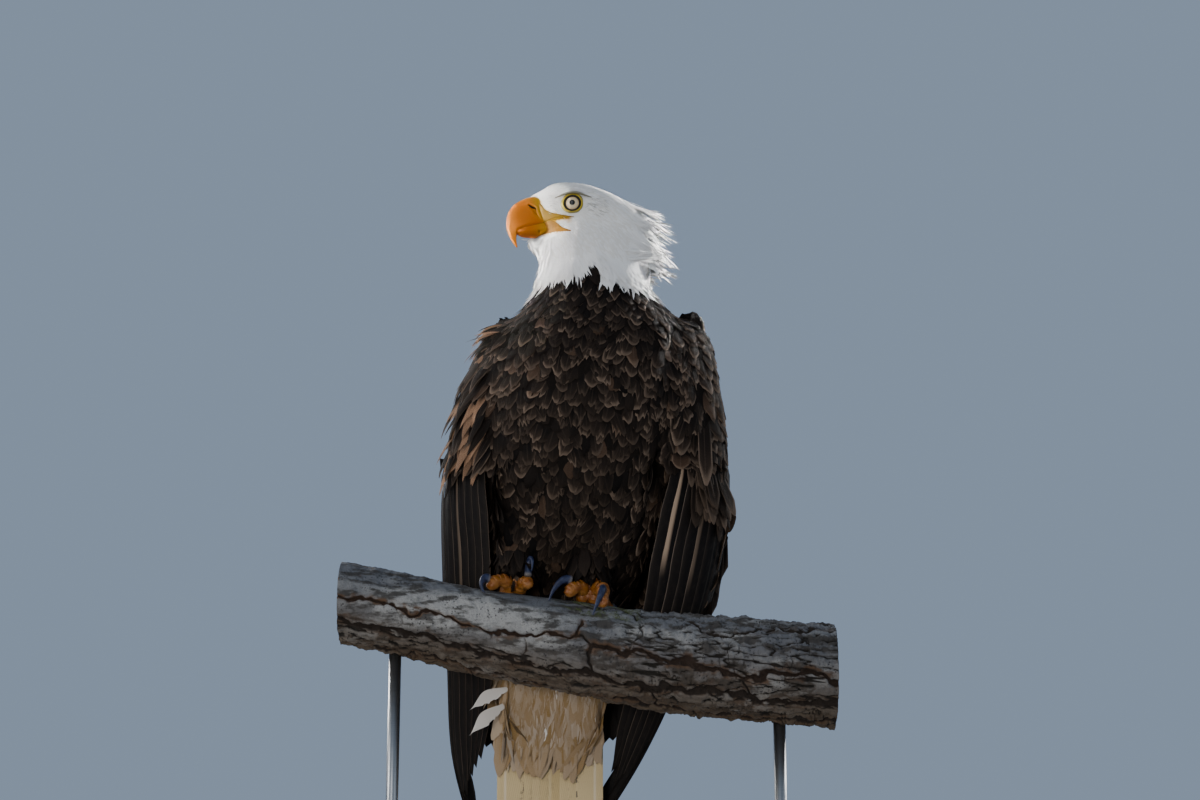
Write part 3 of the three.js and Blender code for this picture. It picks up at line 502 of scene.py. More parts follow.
def spines(roots, normals, direction, length, rows, loose):
    """Walks each feather over the surface: row places and their normals.
    loose: 0 hugs the surface, 1 goes straight on."""
    places, ups = np.empty((2, len(roots), rows + 1, 3))
    for i in range(len(roots)):
        p, n, d = Vector(roots[i]), Vector(normals[i]), Vector(direction[i])
        step, free = length[i] / rows, loose[i]
        places[i, 0], ups[i, 0] = p, n
        for j in range(1, rows + 1):
            ahead = p + d * step
            hit, up, _, _ = hug.find_nearest(ahead)
            if up.dot(n) < 0.2:
                hit, up = ahead, n
            hit = hit.lerp(ahead, free)
            n = (n * (0.35 + 0.65 * free) + up * 0.65 * (1 - free)).normalized()
            d = (hit - p).normalized()
            p = p + d * step
            places[i, j], ups[i, j] = p, n
    return places, ups


def surface_vanes(roots, normals, direction, length, width, rows, cols, shape, lift, seed, loose):
    """Grids of feathers that lie on the skin.
    shape: (root width share, tip drop at the edge, drop power, fray). lift: (root, tip) heights."""
    rng = np.random.default_rng(seed)
    count = len(roots)
    places, ups = spines(roots, normals, direction, length, rows, loose)
    side = unit(np.cross(np.gradient(places, axis=1), ups))
    root_share, drop, power, fray = shape
    u, v = (a.ravel() for a in shares(rows, cols))
    profile = (root_share + (1 - root_share) * smooth(u, 0, 0.62))[None, :, None]
    short = drop * np.abs(v) ** power + fray[:, None] * rng.random((count, cols + 1))
    skew = rng.normal(0, 0.04, count)[:, None] * v
    reach = u[None, :, None] * (1 - np.clip(short + skew, 0, 0.8))[:, None, :]
    row = reach * rows
    low = np.clip(row.astype(int), 0, rows - 1)
    part = (row - low)[..., None]
    index = np.arange(count)[:, None, None]
    spine, up, across = (a[index, low] * (1 - part) + a[index, low + 1] * part for a in (places, ups, side))
    up, across = unit(up), unit(across)
    root_lift, tip_lift = lift
    width = width[:, None, None]
    height = root_lift + (tip_lift[:, None, None] - root_lift) * reach**1.3
    height = height - np.abs(v) ** 2 * (width * 0.10) * profile
    roll = rng.normal(0, 0.07, count)[:, None, None] * v * width * 0.5
    offset = v[None, None, :] * profile * (width / 2)
    return spine + across * offset[..., None] + up * (height + roll * reach)[..., None], up


def effect(name, outputs, build):
    """A node group with the given outputs, from build(tree), which returns their sockets."""
    made = bpy.data.node_groups.new(name, "ShaderNodeTree")
    for key in outputs:
        made.interface.new_socket(name=key, in_out="OUTPUT", socket_type="NodeSocketFloat")
    end = made.nodes.new("NodeGroupOutput")
    for key, socket in zip(outputs, build(made)):
        made.links.new(socket, end.inputs[key])
    return made


def use(tree, group):
    made = tree.nodes.new("ShaderNodeGroup")
    made.node_tree = group
    return tuple(made.outputs)


def vane_marks(t):
    """A vane's rim, its shaft and its slanting barbs."""
    along, across = values_of(t, "along", "across")
    off = calc(t, "ABSOLUTE", across)
    edge = times(t, ramp(t, off, 0.74, 1.0), ramp(t, along, 0.35, 0.8))
    slant = calc(t, "SUBTRACT", times(t, along, 26.0), times(t, off, 11.0))
    barbs = calc(t, "MULTIPLY_ADD", calc(t, "SINE", times(t, slant, 6.2832)), 0.3, noise_of(t, 900.0, 2.0))
    broken = calc(t, "MULTIPLY_ADD", ramp(t, barbs, 0.2, 0.8), 0.7, 0.45)
    rim = times(t, calc(t, "MAXIMUM", edge, ramp(t, along, 0.82, 1.0)), broken)
    return rim, fall(t, off, 0.02, 0.09), barbs


vane_group = effect("vane", ("Rim", "Shaft", "Barbs"), vane_marks)


def brown_look(t):
    rim, shaft, barbs = use(t, vane_group)
    chance, white, wear_and_shade, tan, along = values_of(t, "chance", "white", "wear_and_shade", "tan", "along")
    snow = mix(t, ramp(t, barbs, 0.2, 0.9), (0.74, 0.725, 0.695), (0.60, 0.59, 0.575))
    colour = coated(
        t,
        mix(t, calc(t, "POWER", chance, 1.6), (0.0035, 0.0027, 0.0025), (0.013, 0.0088, 0.0068)),
        # Near-black towards each feather's root and browner towards its tip: partly worn tips, partly painted shade
        # under the feather that lies over it.
        (ramp(t, along, 0.45, 0.95), wear_and_shade, 0.6, (0.050, 0.033, 0.023)),
        (rim, wear_and_shade, wear_and_shade, 1.1, (0.23, 0.165, 0.120)),
        (shaft, wear_and_shade, 0.25, (0.12, 0.085, 0.060)),
        (ramp(t, barbs, 0.35, 0.9), 0.6, (0.0035, 0.0028, 0.0025)),
        (tan, ramp(t, along, 0.15, 0.6), mix(t, ramp(t, barbs, 0.2, 0.9), (0.37, 0.215, 0.130), (0.15, 0.085, 0.050))),
        (white, snow),
    )
    return surface(colour, 0.72, bumped(t, barbs, 0.45, 0.0007), 0.07)


def white_look(t):
    _, _, barbs = use(t, vane_group)
    chance, stain_and_shade, dusk = values_of(t, "chance", "wear_and_shade", "dusk")
    snow = coated(
        t,
        mix(t, chance, (0.80, 0.79, 0.77), (0.74, 0.735, 0.725)),
        # Warm brown laid over the white: a faint stain on the head's feathers, and on the vent and its loose feathers
        # stain together with painted shade.
        (stain_and_shade, (0.21, 0.120, 0.032)),
        (ramp(t, barbs, 0.3, 0.95), 0.14, (0.45, 0.44, 0.42)),
        (dusk, (0.10, 0.09, 0.075)),
    )
    return surface(snow, 0.75, bumped(t, barbs, 0.2, 0.0004), 0.25)


BROWN = material("brown_vane", brown_look), "brown_feather"
WHITE = material("white_vane", white_look), "white_feather"


def near_eye(grid):
    """True for feathers that would cross an eye."""
    out = np.zeros(len(grid), bool)
    for centre in EYES:
        p = grid.reshape(len(grid), -1, 3)
        close = np.hypot(p[..., 0] - centre[0], (p[..., 2] - centre[2]) * 1.05) < EYE_CLEAR
        out |= (close & (np.sign(centre[1] - HEAD_Y) * (p[..., 1] - HEAD_Y) > 10)).any(1)
    return out


def speckled(base, span):
    """A mark drawn evenly from base up to base + span for each feather."""
    return lambda p, rng: base + span * rng.random(len(p))


def grow(
    name, inside, spacing, size, rows, cols, shape, lift, seed, plumage,
    fray=0.04, loose=None, wear_and_shade=None, dusk=None, tan=None, jitter=0.10, soft=0.55,
):
    """One region of the coat. Spacing, size and the tips' lift are numbers or functions of place. loose and the
    marks are functions of place and the random source."""
    rng = np.random.default_rng(seed + 1000)
    roots, normals, uv = scatter(inside, spacing, seed)
    length, width = size(roots) if callable(size) else size
    count = len(roots)
    length = length * rng.uniform(0.85, 1.15, count)
    width = width * rng.uniform(0.88, 1.12, count)
    way = lie(roots, normals)
    way = unit(way + np.cross(normals, way) * rng.normal(0, jitter, count)[:, None])
    ragged = fray * rng.random(count) ** 1.5 * 2
    free = loose(roots, rng) if loose else np.zeros(count)
    tips = at(lift[1], roots) * (length / length.mean()) * rng.uniform(0.7, 1.3, count)
    grid, up = surface_vanes(
        roots, normals, way, length, width, rows, cols, (*shape, ragged), (lift[0], tips), seed, free
    )
    good = ~near_eye(grid)
    marks = {"chance": rng.random(count)[good], "white": (whiteness(roots) > 0.5)[good]}
    for key, mark in (("wear_and_shade", wear_and_shade or speckled(0, 1)), ("dusk", dusk), ("tan", tan)):
        if mark:
            marks[key] = mark(roots, rng)[good]
    feathers(name, grid[good], up[good], uv[good], marks, plumage, soft=soft)


def chin_at(p):
    return smooth(p[:, 2], 828, 819) * smooth(p[:, 0], -26, -42)


def head_size(p):
    q = smooth(from_bill(p), 10, 112)
    length = 4.2 + 21 * q**1.2 + 6 * chin_at(p)
    return length, (length - 5 * chin_at(p)) * (0.46 - 0.21 * q)


def dusk_at(p, rng):
    """Grey, where dark bristles show through the white: before and behind the eye, and a smear at the ear."""
    x, z = p[:, 0], p[:, 2]
    lores = smooth(x, -50, -40) * smooth(x, -20, -30) * smooth(z, 836, 842) * smooth(z, 864, 856)
    behind = smooth(x, -6, 0) * smooth(x, 24, 6) * smooth(np.abs(z - 846), 15, 6)
    ear = np.exp(-(((x - 36) / 8) ** 2) - ((z - 838) / 2.2) ** 2)
    brow = np.exp(-(((z - 861.5 + 0.0024 * (x + 15) ** 2) / 1.8) ** 2)) * smooth(x, -42, -34) * smooth(x, 6, -2)
    return np.clip(0.02 * rng.random(len(p)) + 0.10 * lores + 0.04 * behind + 0.20 * ear + 0.05 * brow, 0, 1)


def on_head(p):
    return (whiteness(p) > 0.5) & (p[:, 2] > HEAD_FOOT)


def off_bill(p):
    """False inside the bill's root, where no feather grows."""
    x, z = p[:, 0], p[:, 2]
    return (x >= -45) | (z <= 824) | (z >= 861 - 0.2 * (x + 50))


grow(
    "coat_face",
    lambda p, n: on_head(p) & (from_bill(p) < CHEEK_END) & (bareness(p) < 0.4) & off_bill(p),
    lambda p: head_size(p)[0] * 0.21, head_size,
    3, 2, (0.5, 0.34, 1.5), (-0.3, lambda p: 0.22 + 1.2 * chin_at(p)), 11, WHITE,
    loose=lambda p, rng: 0.6 * chin_at(p) * rng.random(len(p)), wear_and_shade=speckled(0, 0.05), dusk=dusk_at, soft=0.9,
)
grow(
    "coat_neck",
    lambda p, n: on_head(p) & (from_bill(p) >= CHEEK_END),
    lambda p: head_size(p)[0] * 0.15, head_size,
    5, 4, (0.45, 0.55, 1.1), (-0.5, lambda p: 0.35 + 3.0 * smooth(p[:, 2], 802, 778)), 12, WHITE,
    loose=lambda p, rng: 0.12 * rng.random(len(p)) ** 3 + 0.3 * smooth(p[:, 0], 44, 62) * rng.random(len(p)),
    fray=0.10, jitter=0.07, wear_and_shade=speckled(0, 0.05), dusk=dusk_at, soft=0.9,
)
grow(
    "coat_collar",
    lambda p, n: (whiteness(p, 4) > 0.5) & (whiteness(p, -12) < 0.5) & (p[:, 2] > HEAD_FOOT),
    3.3, (27, 4.6), 6, 4, (0.5, 0.72, 1.0), (-0.3, 2.6), 13, WHITE,
    loose=lambda p, rng: 0.35 * rng.random(len(p)) ** 2, fray=0.14, jitter=0.20, wear_and_shade=speckled(0, 0.05), soft=0.85,
)

# The nape's locks: narrow hackles gathered towards points that stand off behind the neck.
LOCK_TIPS = [
    (70, 1, 855), (80, -6, 846.5), (81, 3, 837), (88.5, -9, 829), (92.5, 0, 823.5), (85.5, 5, 807.5),
    (90.5, -8, 792.5), (92.5, 2, 783.5), (86.5, -12, 781), (79, -20, 812), (76, 14, 830), (78, 18, 800),
    (76, -24, 838), (74, 24, 815), (76, -30, 795), (72, 28, 786), (72, -26, 824), (70, 18, 846),
]


def grow_locks():
    tips = np.array(LOCK_TIPS, float)
    rng = np.random.default_rng(5)
    roots, normals, uv = scatter(
        lambda p, n: (p[:, 0] > 34) & (p[:, 2] > 788) & (p[:, 2] < 872) & (n[:, 0] > 0.25), 1.6, 5
    )
    apart = (roots[:, None] + (0, 0, -15) - tips[None]) * (0.4, 0.9, 1.0)
    goal = tips[np.argmin(np.linalg.norm(apart, axis=2), axis=1)]
    goal = goal + rng.normal(0, 1.0, goal.shape) + rng.normal(0, 4.0, goal.shape) * (rng.random((len(roots), 1)) < 0.3)
    reach = goal - roots
    length = np.linalg.norm(reach, axis=1) * rng.uniform(0.62, 1.08, len(roots))
    good = (length > 13) & (length < 52)
    roots, normals, uv, reach, length = (a[good] for a in (roots, normals, uv, reach, length))
    count = len(roots)
    grid, up = surface_vanes(
        roots, normals, unit(unit(reach) - 0.10 * normals), length, rng.uniform(1.2, 2.4, count),
        5, 2, (0.6, 0.6, 1.1, 0.12 * rng.random(count)), (-0.5, np.full(count, 0.5)), 6, np.full(count, 0.97),
    )
    marks = {"chance": rng.random(count), "white": np.ones(count)}
    marks |= {"wear_and_shade": 0.04 * rng.random(count), "dusk": 0.03 * rng.random(count)}
    feathers("coat_nape", grid, up, uv, marks, WHITE, 0.10, 0.9)


grow_locks()


def body_size(p):
    x, y, z = p.T
    neck = smooth(z, 715, 765)
    side = smooth(np.abs(x - midline(z)), 86, 112)
    length = 32 + 3 * smooth(z, 560, 480) - 9 * neck + 10 * smooth(y, 30, 90)
    width = 16.5 - 2 * smooth(z, 540, 480) - 7 * neck + 5 * smooth(y, 30, 90)
    wing_length = 26 + 26 * smooth(z, 690, 560) + 10 * (x > 0) * smooth(z, 610, 660) * smooth(y, -5, -30)
    wing_width = 15 + 5 * smooth(z, 700, 610) - 5 * smooth(z, 560, 520)
    over_flight = (z > 575) & (y < np.where(x > 0, -8, 40)) & (side > 0.1)
    wing_length = np.where(over_flight, np.minimum(wing_length, np.maximum(z - 572, 16)), wing_length)
    return length + (wing_length - length) * side, width + (wing_width - width) * side


def wear_at(p, rng):
    """Pale, worn rims: most on the breast and the wing fronts, least in the dark of the belly."""
    x, y, z = p.T
    base = 0.38 + 0.17 * smooth(z, 520, 640) - 0.15 * smooth(z, 690, 740)
    side = smooth(np.abs(x - midline(z)), 80, 110)
    return np.clip(base + side * np.where(x > 0, 0.36, -0.05) + rng.normal(0, 0.30, len(p)), 0, 1)


def tan_at(p, rng):
    """Rufous feathers: a few on the bend and the front of the right wing, and odd ones elsewhere."""
    x, y, z = p.T
    front = smooth(x, -102, -118) * smooth(np.abs(z - 612), 46, 24)
    bend = 0.8 * smooth(x, -92, -100) * smooth(np.abs(z - 702), 14, 6)
    patch = (front + bend) * (rng.random(len(p)) < 0.42) * smooth(y, 22, -4)
    odd = (rng.random(len(p)) < 0.03) * 0.12
    return np.clip(patch * rng.uniform(0.5, 1.0, len(p)) + odd, 0, 1)


def brown_between(p, low, high=810):
    return (whiteness(p) < 0.5) & (p[:, 2] >= low) & (p[:, 2] < high)


grow(
    "coat_hackles", lambda p, n: brown_between(p, HACKLE_FOOT), 5.4,
    lambda p: (30, 12 + 0.10 * (775 - p[:, 2])),
    4, 8, (0.5, 0.46, 1.4), (-0.8, 1.6), 20, BROWN, fray=0.08, wear_and_shade=wear_at, jitter=0.16,
)
for label, low, high, seed in (("upper", WAIST, HACKLE_FOOT, 21), ("lower", BELLY_FOOT, WAIST, 22)):
    for face, sign in (("front", -1), ("back", 1)):
        grow(
            f"coat_{label}_{face}",
            lambda p, n: brown_between(p, low, high) & (sign * (p[:, 1] - 18) >= 0) & (n[:, 2] > -0.8),
            lambda p: np.sqrt(np.prod(body_size(p), axis=0)) * 0.29, body_size,
            4, 10, (0.42, 0.36, 1.9), (-0.8, 2.2), seed + (5 if sign > 0 else 0), BROWN,
            fray=0.17, wear_and_shade=wear_at, tan=tan_at, jitter=0.28,
        )


def over_edge(p):
    """How far places lie above the wing coverts' lower edge, which falls from the wing's front to its rear."""
    start = np.where(p[:, 0] > 0, -10.0, 42.0)
    return p[:, 2] - (586 - 138 * smooth(p[:, 1] - start, 0, 55))


def on_wings(p):
    x, y = p[:, 0], p[:, 1]
    return np.where(x > 0, x > np.where(y < 30, 108, 40), (x < -60) & (y > 25))


def vent_loose(p, rng):
    return 0.15 + 0.5 * smooth(p[:, 2], 390, 350) * smooth(np.abs(p[:, 0] + 37), 44, 30)


def on_vent(foot):
    return lambda p, n: (whiteness(p) > 0.5) & (p[:, 2] < VENT_TOP) & (p[:, 2] > foot) & (n[:, 2] > -0.6)


grow(
    "coat_long_coverts", lambda p, n: (np.abs(over_edge(p) - 34) < 34) & (n[:, 2] > -0.5) & on_wings(p),
    7.5, lambda p: (74 + 0.3 * over_edge(p), 13 + 0.03 * over_edge(p)),
    8, 8, (0.5, 0.22, 2.0), (-0.6, 2.0), 33, BROWN, fray=0.05,
    wear_and_shade=lambda p, rng: np.clip(0.55 + rng.normal(0, 0.2, len(p)), 0, 1), tan=tan_at, jitter=0.06,
)
# The vent's feathers and down are laid over with warm brown, partly stain and partly painted shade.
grow(
    "coat_vent", on_vent(338), 5.5, (54, 15), 6, 6, (0.5, 0.34, 1.7), (-0.8, 1.0), 31, WHITE,
    fray=0.12, loose=vent_loose, wear_and_shade=speckled(0.82, 0.18), jitter=0.14, soft=0.85,
)
grow(
    "coat_vent_down", on_vent(330), 3.4, (40, 5.5), 6, 2, (0.5, 0.5, 1.2), (-0.8, 1.4), 32, WHITE,
    fray=0.16, loose=vent_loose, wear_and_shade=speckled(0.74, 0.26), jitter=0.22, soft=0.85,
)


def grow_ragged():
    """Ragged feathers stand off the right wing's front edge and its bend, some of them rufous."""
    rng = np.random.default_rng(71)
    spots = []
    for low, high, outer, spacing, seed in ((590, 690, -92, 7.5, 72), (706, 730, -80, 5.5, 73)):
        spots.append(scatter(
            lambda p, n: (p[:, 2] > low) & (p[:, 2] < high) & (p[:, 0] < outer) & (n[:, 0] < -0.3) & (n[:, 1] < -0.2),
            spacing, seed,
        ))
    roots, normals, uv = (np.concatenate(parts) for parts in zip(*spots))
    count, bend = len(roots), roots[:, 2] > 700
    way = np.stack([np.where(bend, -0.85, -0.48), np.full(count, 0.1), np.full(count, -1.0)], 1)
    way = way + rng.normal(0, 0.14, (count, 3))
    way = unit(way - (way * normals).sum(1, keepdims=True) * normals)
    way = unit(way + rng.uniform(0.05, 0.42, (count, 1)) * normals)
    length = np.where(bend, 26, 38) * rng.uniform(0.8, 1.25, count)
    width = np.where(bend, 8, 11) * rng.uniform(0.8, 1.2, count)
    shape = 0.45, 0.5, 1.3, 0.2 * rng.random(count)
    lift = -0.5, rng.uniform(1.0, 3.0, count)
    loose = rng.uniform(0.8, 1.0, count)
    grid, up = surface_vanes(roots, normals, way, length, width, 6, 8, shape, lift, 74, loose)
    rufous = (rng.random(count) < np.where(bend, 0.6, 0.36)) * (smooth(roots[:, 2], 668, 650) + bend)
    marks = {"chance": rng.random(count), "wear_and_shade": rng.uniform(0.2, 0.9, count)}
    marks["tan"] = rufous * rng.uniform(0.5, 1.0, count)
    feathers("coat_ragged", grid, up, uv, marks, BROWN)


def grow_shanks():
    """Loose dark feathers hang over the root of each foot."""
    rng = np.random.default_rng(61)
    count = 220
    turn, ring = rng.uniform(0, 2 * math.pi, count), rng.uniform(0.45, 1.1, count)
    centre = np.array([(-70, 0, 500), (2, 0, 492)], float)[np.arange(count) % 2]
    out = np.stack([np.cos(turn), np.sin(turn), 0 * turn], 1)
    roots = centre + out * (ring * 17)[:, None] + np.stack([0 * turn, 0 * turn, rng.uniform(-3, 8, count)], 1)
    way = unit(np.tile([0.0, 0.0, -1.0], (count, 1)) + 0.22 * out + rng.normal(0, 0.12, (count, 3)))
    length, width = rng.uniform(24, 34, count), rng.uniform(9, 13, count)
    shape = 0.5, 0.4, 1.6, 0.1 * rng.random(count)
    grid, up = surface_vanes(
        roots, out, way, length, width, 5, 6, shape, (0.0, np.full(count, 1.0)), 62, np.ones(count)
    )
    uv = skin_uv[skin_loops[[skin_tree.find_nearest(Vector(q))[2] for q in roots], 0]]
    marks = {"chance": rng.random(count), "wear_and_shade": 0.4 * rng.random(count)}
    feathers("coat_shanks", grid, up, uv, marks, BROWN)


grow_ragged()
grow_shanks()

# ---- Flight feathers -------------------------------------------------------------------------------------------
# Each folded wing is a curved sheet of long vanes. The primaries lie along its front and below; their leading
# edges show as close stripes, the outermost lowest. The secondaries lie behind. All are stiff and nearly black.

# z, front x and y, side x and y, rear x and y
LEFT_WING = [
    (215, -20, 124, -4, 128, -38, 138), (310, 18, 112, 56, 117, -34, 134), (400, 44, 62, 100, 90, -18, 124),
    (480, 61, 2, 130, 55, -4, 116), (570, 80, -42, 142, 28, 14, 105), (650, 88, -58, 138, 12, 34, 90),
    (718, 88, -46, 127, 4, 62, 64), (745, 102, -8, 113, 4, 100, 16),
]
RIGHT_WING = [
    (225, -98, 116, -114, 124, -80, 136), (310, -95, 98, -137, 108, -68, 134), (400, -94, 62, -142, 88, -58, 124),
    (480, -96, 8, -145, 55, -50, 116), (570, -99, -40, -144, 28, -46, 105), (650, -93, -58, -130, 12, -40, 90),
    (718, -78, -46, -107, 4, -50, 64), (742, -82, -8, -93, 4, -80, 16),
]
# The two wings' names, tables, lowest tip, the first primary's root and each next one's step down, and a seed
WINGS = [("left", LEFT_WING, 218, 606, 2, 40), ("right", RIGHT_WING, 228, 592, 4, 41)]
PRIMARY_STARTS = [0.0, 0.035, 0.07, 0.11, 0.155, 0.21, 0.275, 0.35, 0.43, 0.52]
QUILL_HALF_THICK = 0.22
MIDDLE_MAP = 0.5  # the patches of the flight feathers and the bristles all lie in the middle of the unwrap


def read(stations, column, at):
    """One column of a table, read smoothly at places along its first column, by Hermite spans."""
    table = np.asarray(stations, float)
    xs, ys = table[:, 0], table[:, column]
    slopes = np.empty(len(xs))
    slopes[1:-1] = (ys[2:] - ys[:-2]) / (xs[2:] - xs[:-2])
    slopes[0], slopes[-1] = (ys[1] - ys[0]) / (xs[1] - xs[0]), (ys[-1] - ys[-2]) / (xs[-1] - xs[-2])
    at = np.clip(np.asarray(at, float), xs[0], xs[-1])
    i = np.clip(np.searchsorted(xs, at, side="left") - 1, 0, len(xs) - 2)
    span = xs[i + 1] - xs[i]
    t = (at - xs[i]) / span
    u = 1 - t
    ends = ys[i] * u * u * (1 + 2 * t) + ys[i + 1] * t * t * (1 + 2 * u)
    return ends + span * t * u * (slopes[i] * u - slopes[i + 1] * t)


def on_wing(wing, z, t, depth):
    """Points on a folded wing's outer face, t from its front edge to its rear edge, `depth` inside it."""
    front, side, rear = (np.stack([read(wing, k, z), read(wing, k + 1, z)], -1) for k in (1, 3, 5))
    handle = 2 * side - 0.5 * front - 0.5 * rear
    t, depth = t[..., None], depth[..., None]
    point = (1 - t) ** 2 * front + 2 * t * (1 - t) * handle + t**2 * rear
    run = unit(2 * (1 - t) * (handle - front) + 2 * t * (rear - handle))
    inward = np.stack([-run[..., 1], run[..., 0]], -1) * np.sign(wing[4][3])
    return np.concatenate([point + inward * depth, z[..., None]], -1), np.concatenate([-inward, 0 * t], -1)


def wing_quills(name, wing, quills):
    """quills: (root z, tip z, t at the root, t at the tip, width in mm, depth, chance, tan)."""
    u, v = shares(26, 10)
    grids, ups = [], []
    for root_z, tip_z, root_t, tip_t, width, depth, chance, _ in quills:
        # The leading vane is narrow, the trailing one wide, and the tip is rounded behind.
        half = np.where(v < 0, 0.36, 0.64) * width
        tip = np.sqrt(np.clip(1 - smooth(u, 0.80, 1.0) ** 1.6, 0.0, 1)) ** np.where(v < 0, 1.25, 0.8)
        profile = (0.55 + 0.45 * smooth(u, 0, 0.3)) * tip
        nicks = 1 + 0.03 * np.sin(u * 37 + chance * 9) * (np.abs(v) > 0.9)
        z = root_z + (tip_z - root_z) * u + 0 * v
        arc = 235 * smooth(z, 200, 330) + 60
        t = np.clip(root_t + (tip_t - root_t) * u + v * half * profile * nicks / arc, -0.02, 1.02)
        barb = 0.35 * np.sin(v * 9 + u * 60) * (np.abs(v) > 0.15)
        point, up = on_wing(wing, z, t, depth + 0.25 * v**2 - 0.1 * barb + 4.0 * smooth(z, 572, 600))
        grids.append(point)
        ups.append(up)
    *_, chance, tan = np.array(quills, float).T
    uv = np.full((len(quills), 2), MIDDLE_MAP)
    return feathers(name, np.array(grids), np.array(ups), uv, {"chance": chance, "tan": tan}, FLIGHT, QUILL_HALF_THICK)


def stretched(tree, *factors):
    """The piece's own coordinates, each axis stretched by a factor."""
    return wire(tree, "ShaderNodeVectorMath", (place_of(tree), factors), operation="MULTIPLY")


def flight_look(t):
    _, shaft, barbs = use(t, vane_group)
    chance, tan, along, across = values_of(t, "chance", "tan", "along", "across")
    streak = noise_of(t, 1.0, 3.0, stretched(t, 260.0, 260.0, 18.0))
    colour = coated(
        t,
        mix(t, times(t, chance, 0.6), (0.0022, 0.0019, 0.0019), (0.008, 0.0060, 0.0052)),
        # Browner at each vane's leading side and near-black towards its rear, where the next vane lies over it:
        # painted shade.
        (fall(t, across, -1.0, -0.5), 0.7, (0.013, 0.0095, 0.0075)),
        (ramp(t, streak, 0.45, 0.8), 0.5, (0.016, 0.0115, 0.009)),
        # A thin pale line along each leading edge: painted highlight.
        (fall(t, across, -1.0, -0.93), chance, 0.9, (0.15, 0.112, 0.086)),
        (shaft, 0.25, (0.05, 0.042, 0.035)),
        (fall(t, across, -0.80, -0.6), tan, fall(t, along, 0.32, 0.42), (0.30, 0.215, 0.15)),
    )
    return surface(colour, 0.6, bumped(t, barbs, 0.3, 0.0005), 0.09)


FLIGHT = material("flight_vane", flight_look), "flight_feather"

for label, wing, low, first, step, seed in WINGS:
    rng = np.random.default_rng(seed)
    quills = []
    for i, start in enumerate(PRIMARY_STARTS):
        centre = start + 0.045 + 0.02 * (i > 5)
        tip = low + 85 * np.maximum(0, 1 - centre / 0.7) ** 2.2 + 5 * (i % 2) + 6 * rng.random()
        stripe = 0.9 if label == "left" and i == 1 else (0.25 if i == 4 else 0.0)
        width, depth = 38 + 2.0 * min(i, 5), 1.2 + 0.6 * (9 - i)
        quills.append((first - step * i, tip, centre, centre + 0.02, width, depth, rng.random(), stripe))
    made = wing_quills(f"{label}_primaries", wing, quills)
    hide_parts(f"wing_{label}_primaries")
    quills = []
    for i in range(12):
        centre = 0.45 + 0.047 * i
        root = 600 - 150 * smooth(centre, 0.22, 0.62) + 30
        tip = 378 - 82 * np.clip((centre - 0.45) / 0.52, 0, 1) + 7 * rng.random()
        quills.append((root, tip, centre, centre + 0.01, 40, 4.0 - 0.34 * i, rng.random(), 0.0))
    made = wing_quills(f"{label}_secondaries", wing, quills)
    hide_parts(f"wing_{label}_secondaries")

# ---- Tail ------------------------------------------------------------------------------------------------------
# Twelve broad white quills in a closed fan, the outer ones nearest the front, with dark freckles on their edges.
# Two loose white feathers stick out beside its root, under the limb on the bird's right.

TAIL_X, TAIL_ROOT, TAIL_TIP, HALF_FAN = -37.0, 415, 143, 53
FAN_MAP, LOOSE_MAP = 0.4, 0.45  # where the patches of the tail's quills and of the loose feathers lie
# root, tip and width of the loose feathers
LOOSE = [((-86, 58, 372), (-116, 54, 350), 14), ((-84, 60, 352), (-116, 55, 325), 15)]


def tail_look(t):
    _, shaft, barbs = use(t, vane_group)
    chance, across, dusk = values_of(t, "chance", "across", "dusk")
    freckle = ramp(t, noise_of(t, 260.0), 0.53, 0.62)
    edge = ramp(t, calc(t, "ABSOLUTE", across), 0.62, 0.9)
    snow = coated(
        t,
        mix(t, chance, (0.39, 0.285, 0.13), (0.47, 0.36, 0.19)),
        (ramp(t, noise_of(t, 22.0, 4.0), 0.5, 0.8), 0.6, (0.36, 0.24, 0.12)),
        (freckle, edge, calc(t, "MULTIPLY_ADD", dusk, 0.8, 0.1), (0.06, 0.05, 0.04)),
        (shaft, 0.5, (0.60, 0.52, 0.40)),
    )
    return surface(snow, 0.65, bumped(t, barbs, 0.35, 0.0006), 0.3)


TAIL = material("tail_vane", tail_look), "white_feather"
u, v = shares(22, 10)
grids, chance, dusk = [], [], []
rng = np.random.default_rng(9)
for i, side in product(range(6), (-1, 1)):
    centre = side * (0.07 + 0.155 * i)
    tip = TAIL_TIP + 16 * centre**2 + 4 * rng.random()
    z = TAIL_ROOT + (tip - TAIL_ROOT) * u
    z = z - 3.0 * (1 - v**2) * smooth(u, 0.9, 1.0) + 13.0 * v**2 * smooth(u, 0.84, 1.0)
    fan = HALF_FAN * (1 - 0.2 * smooth(z, 330, 412))
    half = 21 * (0.6 + 0.4 * smooth(u, 0, 0.5)) * (1 - 0.18 * smooth(u, 0.9, 1.0))
    x = np.clip(centre * fan + v * half, -fan, fan)
    y = 88 + (412 - z) * 0.075 + 5 * (x / HALF_FAN) ** 2 - 0.55 * i + 0.8 * v**2 + 0.6
    grids.append(np.stack([TAIL_X + x, y, z], -1))
    chance.append(rng.random())
    dusk.append(1.0 if i == 5 else 0.15)
grids = np.array(grids)
ups = np.broadcast_to(unit(np.array([0.0, -1.0, 0.05])), grids.shape)
marks = {"chance": np.array(chance), "dusk": np.array(dusk)}
made = feathers("tail_quills", grids, ups, np.full((len(grids), 2), FAN_MAP), marks, TAIL, 0.25)
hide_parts("tail")

